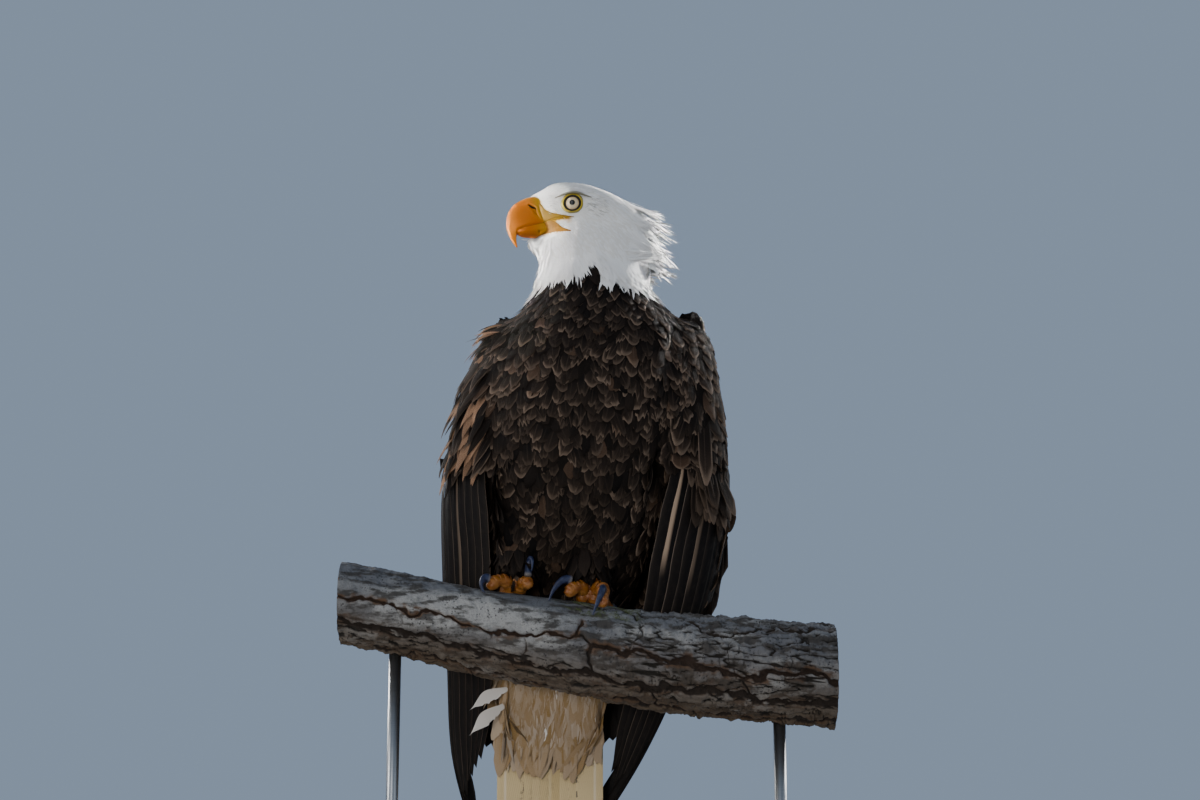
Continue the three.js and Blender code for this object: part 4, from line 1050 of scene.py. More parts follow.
grids = []
for root, tip, width in LOOSE:
    root, tip = np.array(skin_tree.find_nearest(Vector(root))[0], float), np.array(tip, float)
    line = root + (tip - root) * u[..., None] + np.array([0, 0, 3.0]) * np.sin(u * np.pi)[..., None]
    across = unit(np.cross(tip - root, [0.0, 1.0, 0.0]))
    half = width / 2 * (0.35 + 0.65 * smooth(u, 0, 0.55)) * np.clip(1 - smooth(u, 0.5, 1.0) ** 1.1, 0, 1)
    edge = 1 + 0.30 * (rng.random((len(u), 1)) < 0.25) * (v > 0.7)
    grids.append(line + across * (v * half / edge)[..., None] + np.array([0, 1.0, 0]) * (v**2)[..., None])
grids = np.array(grids)
ups = np.broadcast_to(np.array([0.0, -1.0, 0.0]), grids.shape)
# The loose feathers' warm brown is painted shade.
marks = {"chance": np.array([0.2, 0.4]), "wear_and_shade": np.array([0.3, 0.4])}
feathers("vent_loose", grids, ups, np.full((len(grids), 2), LOOSE_MAP), marks, WHITE, 0.2)

# ---- Bill ------------------------------------------------------------------------------------------------------
# A deep hooked bill of smooth orange horn. The yellow cere lies behind a slanting groove, with a slit nostril at
# its front edge. The lower half is tucked behind the hook and under the upper half's sharp edges.

# share of the way, upper edge x and z, lower edge x and z, half the width
UPPER_BILL = [
    (0, -36, 864.4, -34, 833.8, 15.5), (0.2, -50.5, 865.2, -48, 831.5, 13.6), (0.36, -62, 863.3, -57.5, 830.2, 11.6),
    (0.52, -73.5, 857.3, -65.5, 828.7, 9.4), (0.66, -80.3, 848, -70.4, 827.4, 7.2),
    (0.78, -82.2, 837.3, -71.6, 825.2, 5.2), (0.88, -80.4, 826.5, -72, 820.6, 3.6),
    (0.95, -76.4, 817.6, -71.4, 815, 2.1), (1, -72, 811, -70.6, 811.4, 0.7),
]
LOWER_BILL = [
    (0, -32, 837, -32, 822.6, 14.8), (0.35, -46, 836, -46, 822.6, 13.3), (0.65, -57.5, 834, -57, 822.6, 11.2),
    (0.87, -66, 832, -66.3, 823.2, 8.8), (1, -71, 831, -71, 825.2, 6.2),
]
NOSTRIL = np.array([(-59.4, 853.4), (-56.0, 850.2), (-52.0, 848.4)])
CERE_POINT, CERE_WAY = np.array([-55.5, 848.5]), np.array([1.0, 0.69]) / math.hypot(1, 0.69)
HORN_MARKS = "hole_and_shade", "back", "along", "rear"
SAME_MM = 0.002  # corners nearer than this are one


def closed(bm):
    """Fills a piece's open ends."""
    bmesh.ops.holes_fill(bm, edges=[e for e in bm.edges if e.is_boundary], sides=0)
    bmesh.ops.triangulate(bm, faces=[f for f in bm.faces if len(f.verts) > 4])


def wrapped(name, rows, sides, place, marks, look=None):
    """A closed piece from a bmesh grid whose corners go to place(u, v), with v running round and u along.
    `marks` are names of the further values that place returns for each corner."""
    bm = bmesh.new()
    bmesh.ops.create_grid(bm, x_segments=rows, y_segments=sides, size=0.5)
    uv = np.array([v.co for v in bm.verts])[:, :2] + 0.5
    points, *values = place(uv[:, 0], uv[:, 1])
    layers = [bm.verts.layers.float.new(mark) for mark in marks]
    for v, point, *own in zip(bm.verts, scaled(points), *values):
        v.co = point
        for layer, value in zip(layers, own):
            v[layer] = value
    bmesh.ops.remove_doubles(bm, verts=bm.verts, dist=SAME_MM / 1000)
    closed(bm)
    bmesh.ops.recalc_face_normals(bm, faces=bm.faces)
    made = smooth_piece(bm, name)
    if look:
        made.data.materials.append(look)
    return made


def toward_line(x, z, line):
    """Distance from points of the side view to a broken line, and how far along it the nearest place is."""
    best, where = np.full(x.shape, 1e9), np.zeros(x.shape)
    for i in range(len(line) - 1):
        a, run = line[i], line[i + 1] - line[i]
        t = np.clip(((x - a[0]) * run[0] + (z - a[1]) * run[1]) / (run @ run), 0, 1)
        d = np.hypot(x - a[0] - t * run[0], z - a[1] - t * run[1])
        where = np.where(d < best, (i + t) / (len(line) - 1), where)
        best = np.minimum(d, best)
    return best, where


def bill_shape(table, u, v, ridge, powers):
    """Places round the bill, how far each lies to the side, and its section's middle."""
    top_x, top_z, low_x, low_z, wide = (read(table, k, u) for k in range(1, 6))
    a = v * 2 * math.pi
    power = np.where(np.sin(a) < 0, *powers)
    height = np.sign(np.sin(a)) * np.abs(np.sin(a)) ** (2 / power)
    side = np.sign(np.cos(a)) * np.abs(np.cos(a)) ** (2 / power)
    mid_x, mid_z = (top_x + low_x) / 2, (top_z + low_z) / 2
    x, z = mid_x + (top_x - low_x) / 2 * height, mid_z + (top_z - low_z) / 2 * height
    return x, HEAD_Y + side * wide * (1 - ridge * height), z, side, mid_x, mid_z


def mouth_shade(x, z):
    """The thin dark line where the bill closes: painted shade in the gap between its halves."""
    edge = z - np.interp(x, [-70.4, -65.5, -57.5, -48, -34], [828.0, 829.2, 830.7, 832.0, 834.0])
    return 0.52 * np.exp(-((edge / 0.5) ** 2)) * smooth(x, -71, -67)


def upper_place(u, v):
    x, y, z, side, mid_x, mid_z = bill_shape(UPPER_BILL, u, v, 0.14, (7.0, 2.1))
    slit, where = toward_line(x, z, NOSTRIL)
    open_half = 1.1 * np.sin(np.clip(where, 0.04, 0.96) * math.pi) ** 0.5 + 0.2
    # The nostril's slit is dented into the horn and painted near-black inside: painted shade.
    hole_and_shade = np.exp(-((slit / open_half) ** 2) * 1.2) * (np.abs(side) > 0.4)
    rim = np.exp(-(((slit - 2.0) / 0.9) ** 2)) * (np.abs(side) > 0.4)
    d = (x - CERE_POINT[0]) * CERE_WAY[0] + (z - CERE_POINT[1]) * CERE_WAY[1] + 0.6 * np.sin(z / 3.5)
    inward = -2.6 * hole_and_shade + 0.30 * rim - 0.10 * np.exp(-((d / 0.8) ** 2)) + 0.12 * smooth(d, 0, 3)
    swell = 1 + inward / 30
    x, z = mid_x + (x - mid_x) * swell, mid_z + (z - mid_z) * swell
    y = y + np.sign(side) * inward * np.abs(side) ** 0.5
    rear = smooth(d + 0.55 * (852 - z), -2, 9)
    return np.stack([x, y, z], 1), np.maximum(hole_and_shade, mouth_shade(x, z)), smooth(d, -5, 7), u, rear


def lower_place(u, v):
    x, y, z, *_ = bill_shape(LOWER_BILL, u, v, -0.04, (2.8, 4.0))
    return np.stack([x, y, z], 1), mouth_shade(x, z), smooth(x, -60, -44), 0.3 * u, 0.6 * smooth(x, -56, -42)


def horn_look(t):
    hole_and_shade, back, along, rear = values_of(t, *HORN_MARKS)
    flow, blotch = noise_of(t, 1.0, 4.0, stretched(t, 50.0, 160.0, 220.0)), noise_of(t, 75.0)
    yellow = mix(t, rear, (0.43, 0.135, 0.003), (0.42, 0.225, 0.004))
    horn = coated(
        t,
        mix(t, ramp(t, along, 0.50, 1.0), (0.40, 0.108, 0.002), (0.55, 0.165, 0.003)),
        (ramp(t, flow, 0.40, 0.75), 0.30, (0.40, 0.11, 0.005)),
        (ramp(t, blotch, 0.55, 0.8), 0.30, (0.30, 0.11, 0.012)),
        (back, mix(t, times(t, blotch, 0.4), yellow, (0.36, 0.20, 0.012))),
        # Near-black in the nostril and along the mouth's line, and half way on the gape's lips and bands: painted
        # shade.
        (ramp(t, hole_and_shade, 0.2, 0.6), (0.012, 0.005, 0.003)),
    )
    return surface(horn, calc(t, "MULTIPLY_ADD", flow, 0.12, 0.50), bumped(t, flow, 0.10, 0.001), 0.08)


bill_horn = material("bill_horn", horn_look)
whole = wrapped("bill_whole", 150, 120, upper_place, HORN_MARKS)
for name, slot, clear_front in (("bill_upper", "bill_horn", False), ("cere", "cere_skin", True)):
    bm = bmesh.new()
    bm.from_mesh(whole.data)
    bmesh.ops.bisect_plane(
        bm, geom=bm.verts[:] + bm.edges[:] + bm.faces[:], dist=1e-7,
        plane_co=scaled([CERE_POINT[0], 0, CERE_POINT[1]]), plane_no=(CERE_WAY[0], 0, CERE_WAY[1]),
        clear_outer=not clear_front, clear_inner=clear_front,
    )
    closed(bm)
    made = smooth_piece(bm, f"{name}_shaped")
    made.data.materials.append(bill_horn)
    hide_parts(name)
bpy.data.objects.remove(whole)
lower = wrapped("bill_lower_shaped", 90, 80, lower_place, HORN_MARKS, bill_horn)
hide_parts("bill_lower")

# ---- Gape ------------------------------------------------------------------------------------------------------
# A soft yellow lip above and below the mouth's line on each cheek, back to under the eye. Bands of bare skin lie
# on the cheek above it and along the jaw below.

MOUTH = [(-50, 831.2), (-44, 832.4), (-37, 833.6), (-30, 833.7), (-23, 833.3), (-18, 832.9), (-13, 832.6)]
# x, lower edge, upper edge
GAPE = [
    (-51, 831.6, 857), (-48.5, 831.9, 855), (-46, 832.3, 851), (-43, 832.8, 845.8), (-36.6, 833.8, 840.9),
    (-30, 833.8, 838.2), (-23.5, 833.2, 836.0), (-17, 833.0, 834.4), (-13, 832.8, 833.4),
]
JAW = [
    (-50, 823.4, 831), (-44, 822.2, 832.2), (-38, 821, 832.6), (-34, 820.4, 831.8), (-30, 819.5, 829.2),
    (-26, 818.7, 824.8), (-21, 817.9, 821), (-16, 817.2, 818.4),
]


def smooth_line(points, at):
    """Points on a Catmull-Rom line through a few points, at shares of its length."""
    points = np.asarray(points, float)
    ends = np.vstack([2 * points[0] - points[1], points, 2 * points[-1] - points[-2]])
    fine = []
    for i in range(len(points) - 1):
        a, b, c, d = ends[i : i + 4]
        t = np.linspace(0, 1, 24, endpoint=i == len(points) - 2)[:, None]
        fine.append(0.5 * (2 * b + (c - a) * t + (2 * a - 5 * b + 4 * c - d) * t**2 + (3 * b - a - 3 * c + d) * t**3))
    fine = np.vstack(fine)
    run = np.concatenate([[0], np.cumsum(np.linalg.norm(np.diff(fine, axis=0), axis=1))])
    at = np.asarray(at) * run[-1]
    return np.stack([np.interp(at, run, fine[:, k]) for k in range(3)], 1)


def cheek_cast(x, z, side):
    """Where a line from beside the head meets the skin, and the skin's normal there."""
    return skin_tree.ray_cast(Vector((x, HEAD_Y + side * 60, z)), Vector((0, -side, 0)))[:2]


def cheek(x, z, side, out):
    """A point on the skin's cheek at x and z, `out` from it."""
    hit, _ = cheek_cast(x, z, side)
    return np.array([x, hit[1] + side * out if hit else HEAD_Y + side * 12, z])


for side, label in ((-1, "near"), (1, "far")):
    for lip, shift in (("upper", 0.95), ("lower", -0.95)):
        line = np.array([cheek(x, z + shift, side, 0.35 - 0.5 * (i == 6)) for i, (x, z) in enumerate(MOUTH)])

        def lip_place(u, v):
            fine = np.linspace(0, 1, 50)
            ahead = unit(np.gradient(smooth_line(line, fine), axis=0))
            ahead = np.stack([np.interp(u, fine, ahead[:, k]) for k in range(3)], 1)
            outward = np.tile([0.0, float(side), 0.0], (len(u), 1))
            a = v * 2 * math.pi
            r = (0.62 - 0.30 * u) * np.sqrt(np.clip(1 - (np.clip(u - 0.7, 0, 1) * 4) ** 2, 0.02, 1))
            r = r * (1 + 0.06 * np.sin(u * 60))
            rise = unit(np.cross(ahead, outward)) * (r * np.cos(a))[:, None]
            p = smooth_line(line, u) + rise + outward * (1.25 * r * np.sin(a))[:, None]
            # The lips are darkened half way towards near-black, less towards their rear ends: painted shade.
            return p, 0.40 - 0.12 * smooth(u, 0.5, 0.8), 0 * u + 1, 0 * u, 0 * u + 1

        wrapped(f"gape_{lip}_{label}", 60, 20, lip_place, HORN_MARKS, bill_horn)

    for name, band, yellow in (("gape", GAPE, 1.0), ("jaw", JAW, 0.35)):

        def band_place(u, v):
            x = band[0][0] + (band[-1][0] - band[0][0]) * u
            low, high = read(band, 1, x), read(band, 2, x)
            a = v * 2 * math.pi
            z = (low + high) / 2 + (high - low) / 2 * np.sign(np.cos(a)) * np.abs(np.cos(a)) ** 0.7
            step = 0.9 * (1 - 0.5 * u) + 1.0 * smooth(x, -39, -50)
            rise = np.where(np.sin(a) > 0, step * np.abs(np.sin(a)) ** 0.4, 1.2 * np.sin(a))
            fold = 0.10 * np.sin(z * 2.1 + x * 0.5) * (np.sin(a) > 0.2)
            p = np.array([cheek(*spot, side, out) for *spot, out in zip(x, z, rise + fold)])
            # The bands are darkened half way towards near-black: painted shade.
            return p, 0 * u + 0.39, 0 * u + 1, 0 * u, smooth(u, -0.1, 0.15) * yellow

        wrapped(f"{name}_{label}", 90, 32, band_place, HORN_MARKS, bill_horn)

# ---- Eyes ------------------------------------------------------------------------------------------------------
# Pale cream irises with a fine dark net, small black pupils, and a wet clear coat. The lids are a black margin and
# a wrinkled yellow ring.

EYE_RADIUS = 10.5
# The lid's section: distance from the gaze and height along it
LID = np.array([
    (6.85, 7.0), (6.75, 7.9), (7.2, 8.45), (8.0, 8.5), (8.7, 8.35), (9.5, 8.5),
    (10.3, 8.0), (11.2, 7.0), (11.6, 5.6), (9.2, 5.4), (7.3, 6.0), (6.85, 7.0),
])


def eye_look(t):
    ring, turn = values_of(t, "ring", "turn")
    spokes = wire(t, "ShaderNodeCombineXYZ", (times(t, turn, 9.0), times(t, ring, 0.35), 0.0))
    rays = wire(t, "ShaderNodeTexNoise", {"Vector": spokes, "Scale": 4.0, "Detail": 4.0})
    edge = calc(t, "MULTIPLY_ADD", rays, 0.25, 2.65)
    outside = wire(t, "ShaderNodeMapRange", (ring, edge, calc(t, "ADD", edge, 0.22), 0.0, 1.0))
    colour = coated(
        t,
        mix(t, ramp(t, rays, 0.35, 0.7), (0.74, 0.60, 0.38), (0.58, 0.42, 0.24)),
        (ramp(t, ring, 4.6, 6.6), (0.50, 0.33, 0.16)),
        (ramp(t, ring, 6.35, 6.75), (0.015, 0.012, 0.010)),
        (calc(t, "SUBTRACT", 1.0, outside), (0.002, 0.002, 0.002)),
    )
    return surface(colour, 0.25, bumped(t, rays, 0.05, 0.0005), 0.3) | {"Coat Weight": 0.35, "Coat Roughness": 0.02}


def lid_look(t):
    (ring,), wrinkle = values_of(t, "ring"), noise_of(t, 800.0)
    tone = coated(
        t,
        mix(t, wrinkle, (0.50, 0.35, 0.012), (0.34, 0.25, 0.02)),
        # Greyer and darker towards the ring's outer edge, where it meets the feathers: painted shade.
        (ramp(t, ring, 9.9, 11.0), 0.75, (0.20, 0.18, 0.09)),
        (fall(t, ring, 8.75, 9.2), (0.005, 0.005, 0.005)),
    )
    return surface(tone, 0.5, bumped(t, wrinkle, 0.6, 0.0008), 0.2)


eye_glass, eyelid = material("eye_glass", eye_look), material("eyelid", lid_look)

for name, centre, gaze in zip(("eye_left", "eye_right"), EYES, GAZES):
    ahead = unit(np.cross([0.0, 0.0, 1.0], gaze))
    above = np.cross(gaze, ahead)

    def eye_place(u, v):
        tilt, turn = u * math.pi, v * 2 * math.pi
        ring = EYE_RADIUS * np.sin(tilt)
        height = EYE_RADIUS * np.cos(tilt) + 0.55 * np.clip(1 - (ring / 6.6) ** 2, 0, 1) * (np.cos(tilt) > 0)
        p = centre + gaze * height[:, None]
        p = p + ahead * (ring * np.cos(turn))[:, None] + above * (ring * np.sin(turn))[:, None]
        return p, np.where(tilt < math.pi / 2, ring, 20 - ring), np.abs(np.sin(turn / 2)) * 3

    def lid_place(u, v):
        turn = u * 2 * math.pi
        ring, height, _ = smooth_line(np.column_stack([LID, 0 * LID[:, 0]]), v).T
        outer = smooth(ring, 8.2, 10.5)
        wide = ring * (1 + outer * (0.02 - 0.03 * np.cos(turn)))
        tall = ring * (0.95 - 0.02 * outer + 0.07 * outer * np.sin(turn))
        height = height + 0.25 * np.sin(turn) * outer + 0.12 * np.sin(turn * 23 + ring * 2) * outer
        p = centre + gaze * height[:, None]
        return p + ahead * (wide * np.cos(turn))[:, None] + above * (tall * np.sin(turn))[:, None], ring

    ball = wrapped(f"{name}_ball", 90, 96, eye_place, ("ring", "turn"), eye_glass)
    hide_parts(name)
    lid = wrapped(f"{name}_lids", 144, 44, lid_place, ("ring",), eyelid)

# ---- Brows -----------------------------------------------------------------------------------------------------
# A bare ridge of skin over the bone shades the top of each eye. Fine dark bristles, each a narrow vane, grow out of
# the skin before and behind it.

# x, distance to the side, z
BROW = [
    (-33, 27.8, 853.8), (-29, 30.2, 854.8), (-22, 33.4, 856.6), (-15, 35.2, 857.6),
    (-8, 35.8, 856.6), (-1, 35.6, 854.0), (5, 35.4, 852.0),
]


def along_line(line, u, up_hint):
    """Middle points, forward, side and up directions at shares u of a smooth line."""
    at_fine = np.linspace(0, 1, 120)
    fine = smooth_line(line, at_fine)
    ahead = unit(np.gradient(fine, axis=0))
    middle, ahead = (np.stack([np.interp(u, at_fine, a[:, k]) for k in range(3)], 1) for a in (fine, ahead))
    ahead = unit(ahead)
    side = unit(np.cross(ahead, up_hint))
    return middle, ahead, side, np.cross(side, ahead)


def brow_look(t):
    (over,), wrinkle = values_of(t, "over"), noise_of(t, 500.0)
    # Dark olive on the ridge's underside, pale grey on its top: painted shade under the ridge.
    tone = mix(t, ramp(t, over, 0.2, 0.7), (0.10, 0.085, 0.020), (0.30, 0.28, 0.24))
    tone = mix(t, times(t, wrinkle, 0.5), tone, (0.06, 0.05, 0.03))
    return surface(tone, 0.6, bumped(t, wrinkle, 0.5, 0.0008))


brow_skin = material("brow_skin", brow_look)
for side, label in ((-1, "near"), (1, "far")):

    def brow_place(u, v):
        line = np.array([(x, HEAD_Y + side * out, z) for x, out, z in BROW])
        middle, _, across, up = along_line(line, u, np.array([0.0, float(side), 0.2]))
        r = 0.3 + 0.9 * np.sin(np.clip(u, 0, 1) * math.pi)
        r = r * np.sqrt(np.clip(1 - (np.clip(np.abs(u - 0.5) - 0.46, 0, 1) / 0.04) ** 2, 0.001, 1))
        a = v * 2 * math.pi
        p = middle + across * (1.25 * r * np.cos(a))[:, None] + up * (r * np.sin(a))[:, None]
        return p, 0.5 + 0.5 * (p[:, 2] - middle[:, 2]) / 2

    made = wrapped(f"brow_{label}", 90, 24, brow_place, ("over",), brow_skin)

rng = np.random.default_rng(88)
spots_x = np.concatenate([rng.uniform(-42, -27, 50), rng.uniform(-2, 18, 100)])
spots_z = np.concatenate([rng.uniform(840, 860, 50), 847 + rng.normal(0, 6.5, 100)])
casts = [cheek_cast(x, z, -1 if i % 2 else 1) for i, (x, z) in enumerate(zip(spots_x, spots_z))]
roots, normals = (np.array(a, float) for a in zip(*casts))
count = len(roots)
way = lie(roots, normals)
way[:, 2] += rng.normal(0.1, 0.25, count)
length, width = rng.uniform(4, 9, count), rng.uniform(0.22, 0.4, count)
grid, up = surface_vanes(
    roots, normals, unit(way), length, width, 5, 2, (0.8, 0.5, 1.2, np.zeros(count)),
    (0.3, np.full(count, 1.3)), 89, np.full(count, 0.3),
)
marks = {"chance": rng.random(count), "dusk": np.full(count, 0.55)}
feathers("coat_bristles", grid, up, np.full((count, 2), MIDDLE_MAP), marks, WHITE, 0.08)

# ---- Feet ------------------------------------------------------------------------------------------------------
# Yellow-orange toes with a row of broad scutes on top and rough pads below, gripping the limb's top, and long
# blue-black claws. The shanks are scaled and go up under the thighs' feathers.

# Each foot's x on the limb, its hip, and each toe's middle line and its claw's
FEET = {
    "right": (-70, (-62, -6, 566), {
        "front": (
            [[-71, 3, 465], [-78, -6, 468], [-87, -13, 467], [-93, -16, 463]],
            [[-94, -17, 468], [-99, -19, 468.5], [-102, -22, 463], [-100.5, -25, 456], [-98, -26, 453]],
        ),
        "inner": (
            [[-67, 2, 465], [-61, -9, 466], [-57, -20, 463.5]],
            [[-57, -18, 470], [-57, -17, 480], [-55, -20, 487.5], [-52.6, -25, 484], [-53, -28, 474]],
        ),
        "outer": (
            [[-73, 6, 464], [-79, 18, 463], [-82, 28, 455]],
            [[-83, 34, 459], [-84, 40, 456], [-84, 44, 449], [-83, 45, 441]],
        ),
        "hind": (
            [[-69, 8, 464], [-67, 22, 462], [-65, 33, 451]],
            [[-65, 36, 455], [-64, 44, 452], [-63, 49, 444], [-62, 51, 434], [-62, 50, 426]],
        ),
    }),
    "left": (2, (34, -6, 566), {
        "front": (
            [[4, 2, 456], [11, -8, 461], [15.5, -18, 458], [16, -26, 450], [15, -31, 443]],
            [[16, -28, 457], [15, -34, 453], [12, -38, 445], [9, -39, 437], [6, -39.5, 429]],
        ),
        "inner": (
            [[0, 1, 456], [-5, -10, 461], [-11, -18, 460], [-17, -22, 455]],
            [
                [-14, -20, 465.5], [-20, -21.5, 467], [-26, -23, 463.5],
                [-31, -24, 457.5], [-34.5, -25, 450.5], [-36.5, -25, 445],
            ],
        ),
        "outer": (
            [[6, 6, 455], [15, 16, 452], [22, 26, 444]],
            [[23, 28, 449], [28, 33, 446], [31, 38, 439], [32, 40, 430]],
        ),
        "hind": (
            [[1, 8, 455], [-2, 22, 453], [-4, 33, 442]],
            [[-4, 36, 446], [-5, 44, 443], [-6, 49, 435], [-6, 51, 425], [-6, 50, 417]],
        ),
    }),
}
# The limb's x, its middle's z and its radius
LIMB = [
    (-240, 447, 39.5), (-137, 427, 41.5), (-60, 412.5, 43.5), (13, 398.5, 45.5),
    (80, 388.5, 48), (150, 383, 49.5), (240, 377, 49),
]
TOE_CAP = 0.10  # the share of a toe's length in each of its round ends
FOOT_MARKS = "wave", "below", "along"


def toe_place(line, start, end, scutes, up_hint=(0, -0.25, 1)):
    total = np.linalg.norm(np.diff(smooth_line(line, np.linspace(0, 1, 60)), axis=0), axis=1).sum()

    def place(u, v):
        inner = np.clip((u - TOE_CAP) / (1 - 2 * TOE_CAP), 0, 1)
        first, last = np.clip(TOE_CAP - u, 0, 1) / TOE_CAP, np.clip(u - 1 + TOE_CAP, 0, 1) / TOE_CAP
        middle, ahead, side, up = along_line(line, inner, np.array(up_hint, float))
        dome = np.sqrt(np.clip(1 - first**2 - last**2, 0.0, 1))
        r = (start + (end - start) * inner) * (1 + 0.07 * np.cos(inner * total / 15 * 2 * math.pi + 0.7))
        a = v * 2 * math.pi
        top, below = smooth(np.sin(a), 0.15, 0.75), smooth(-np.sin(a), 0.2, 0.8)
        wave = (inner * scutes) % 1
        scute = top * (0.9 * wave - 0.4 - 1.3 * np.exp(-((wave / 0.12) ** 2)))
        knob = below * 0.55 * np.sin(inner * total / 2.6 + np.sin(a * 5) * 1.2) * np.sin(a * 11)
        scale = (1 - top) * (1 - below) * 0.30 * np.sin(inner * total / 1.4) * np.sin(a * 15)
        rr = r * dome + (scute + knob + scale) * np.minimum(dome * 1.5, 1)
        p = middle + ahead * ((last - first) * r * 0.8)[:, None]
        p = p + side * (rr * 0.96 * np.cos(a))[:, None] + up * (rr * np.sin(a))[:, None]
        return p, wave * top + (1 - top) * 0.5, below, inner

    return place


def claw_place(line):
    def place(u, v):
        middle, _, side, up = along_line(line, u, np.array([0.0, -0.3, 1.0]))
        r = (4.9 + (0.5 - 4.9) * u**1.15) * np.sqrt(np.clip(1 - np.clip(0.06 - u, 0, 1) ** 2 / 0.0036 * 0.99, 0, 1))
        a = v * 2 * math.pi
        r = r * (1 - 0.10 * np.exp(-(((np.sin(a) + 1) / 0.25) ** 2)))
        return middle + side * (0.80 * r * np.cos(a))[:, None] + up * (r * np.sin(a))[:, None], u

    return place


def foot_look(t):
    wave, below = values_of(t, "wave", "below")
    blotch, fine = noise_of(t, 130.0), noise_of(t, 1500.0, 2.0)
    tone = coated(
        t,
        mix(t, ramp(t, blotch, 0.3, 0.7), (0.15, 0.042, 0.002), (0.215, 0.076, 0.003)),
        # Darker in the grooves between the scutes: painted shade.
        (fall(t, wave, 0.02, 0.20), 0.8, (0.16, 0.045, 0.004)),
        (ramp(t, fine, 0.5, 0.8), 0.35, (0.28, 0.10, 0.01)),
        (below, 0.4, (0.36, 0.17, 0.04)),
    )
    return surface(tone, 0.46, bumped(t, fine, 0.5, 0.0008))


def claw_look(t):
    (along,), flow = values_of(t, "along"), noise_of(t, 240.0)
    horn = mix(t, ramp(t, flow, 0.35, 0.7), (0.006, 0.009, 0.030), (0.020, 0.028, 0.065))
    horn = coated(t, horn, (fall(t, along, 0.0, 0.14), 0.8, (0.16, 0.14, 0.12)))
    return surface(horn, calc(t, "MULTIPLY_ADD", flow, 0.15, 0.36), bumped(t, flow, 0.12, 0.0008), 0.3)


def on_limb(x, a, lift):
    """The limb's surface, swollen by `lift`: a is the angle round it, from its top towards the front."""
    r = read(LIMB, 2, x) + 1.2 * np.sin(3 * a + x / 47) + 0.9 * np.sin(5 * a - x / 29) + lift
    return np.stack([x + 0 * a, -r * np.sin(a), read(LIMB, 1, x) + r * np.cos(a)], -1)


foot_skin, claw_horn = material("foot_skin", foot_look), material("claw_horn", claw_look)

for name, (foot_x, hip, toes) in FEET.items():
    for toe, (line, claw) in toes.items():
        wrapped(f"toe_{name}_{toe}", 130, 64, toe_place(line, 7.7, 5.7, 7), FOOT_MARKS, foot_skin)
        made = wrapped(f"claw_{name}_{toe}_shaped", 60, 32, claw_place(claw), ("along",), claw_horn)
        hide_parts(f"claw_{name}_{toe}")
    base = on_limb(np.array([float(foot_x)]), np.array([0.0]), 9.2)[0]
    shank = [base + (np.array(hip, float) - base) * share for share in (0, 0.14, 0.30)]
    shank_place = toe_place(shank, 9.6, 9.0, 7, (0, -1, 0))
    wrapped(f"shank_{name}", 90, 64, shank_place, FOOT_MARKS, foot_skin)
    palm = [base + (-6, 0, -1.0), base + (0, 0, 0.5), base + (6, 0, -1.0)]
    wrapped(f"palm_{name}", 60, 64, toe_place(palm, 8.4, 8.4, 3), FOOT_MARKS, foot_skin)
    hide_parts(f"foot_{name}")

# ---- Perch -----------------------------------------------------------------------------------------------------
# A cut length of old limb: pale grey, smooth and pitted above on the left, broken by long rusty cracks, and rough,
# brown and plated below and on the right, with a little moss by the left foot. Its sawn ends show rings.

# Cracks: (x, degrees round the limb) points, half width, depth, rust
CRACKS = [
    (
        [
            (-245, 88), (-200, 87), (-165, 93), (-155, 85), (-134, 89),
            (-118, 98), (-80, 98), (-35, 88), (-11, 78), (-4, 62),
        ],
        1.6, 3.0, 1.0,
    ),
    (
        [
            (-245, 118), (-190, 127), (-160, 121), (-137, 128), (-80, 131), (-45, 134),
            (0, 127), (40, 131), (110, 129), (170, 136), (245, 131),
        ],
        3.2, 3.4, 0.4,
    ),
    ([(-30, 36), (-12, 26), (10, 36), (30, 30), (52, 48)], 1.4, 2.2, 0.0),
    ([(-11, 78), (6, 92), (2, 112), (10, 128)], 1.5, 2.6, 0.1),
    (
        [(6, 92), (40, 90), (75, 96), (100, 95), (130, 104), (150, 107), (180, 100), (215, 99), (245, 104)],
        2.6, 3.6, 0.8,
    ),
    ([(40, 90), (52, 70), (48, 50)], 1.0, 1.8, 0.0),
    ([(98, 40), (112, 52), (134, 60), (150, 56), (166, 40), (200, 46), (245, 40)], 2.0, 3.0, 0.2),
    ([(-245, 30), (-200, 24), (-150, 30), (-110, 22)], 0.9, 1.2, 0.0),
    ([(-245, 168), (-160, 160), (-60, 170), (40, 160), (140, 172), (245, 163)], 2.6, 3.2, 0.5),
    ([(60, 128), (72, 150), (60, 168)], 1.6, 2.6, 0.2),
    ([(150, 107), (162, 130), (150, 136)], 1.6, 2.6, 0.3),
    ([(-60, 98), (-54, 115), (-60, 131)], 1.0, 1.6, 0.2),
    ([(-185, 88), (-180, 108), (-186, 126)], 0.9, 1.4, 0.1),
    ([(-245, -40), (-100, -34), (30, -46), (150, -38), (245, -44)], 2.2, 3.0, 0.4),
    ([(-245, -88), (-120, -96), (0, -84), (120, -96), (245, -90)], 2.4, 3.2, 0.4),
    ([(-245, -135), (-110, -128), (20, -140), (130, -132), (245, -138)], 2.6, 3.2, 0.4),
]
ROUND_MM, DEGREE_MM = 44, 0.785  # the limb's usual radius, and a degree's length on its surface
CUT_SHARE, LIMB_LENGTH, DEEPEST = 0.05, 480, 3.4
BARK_MARKS = "crack", "rust", "moss", "cut", "share", "above", "rough"


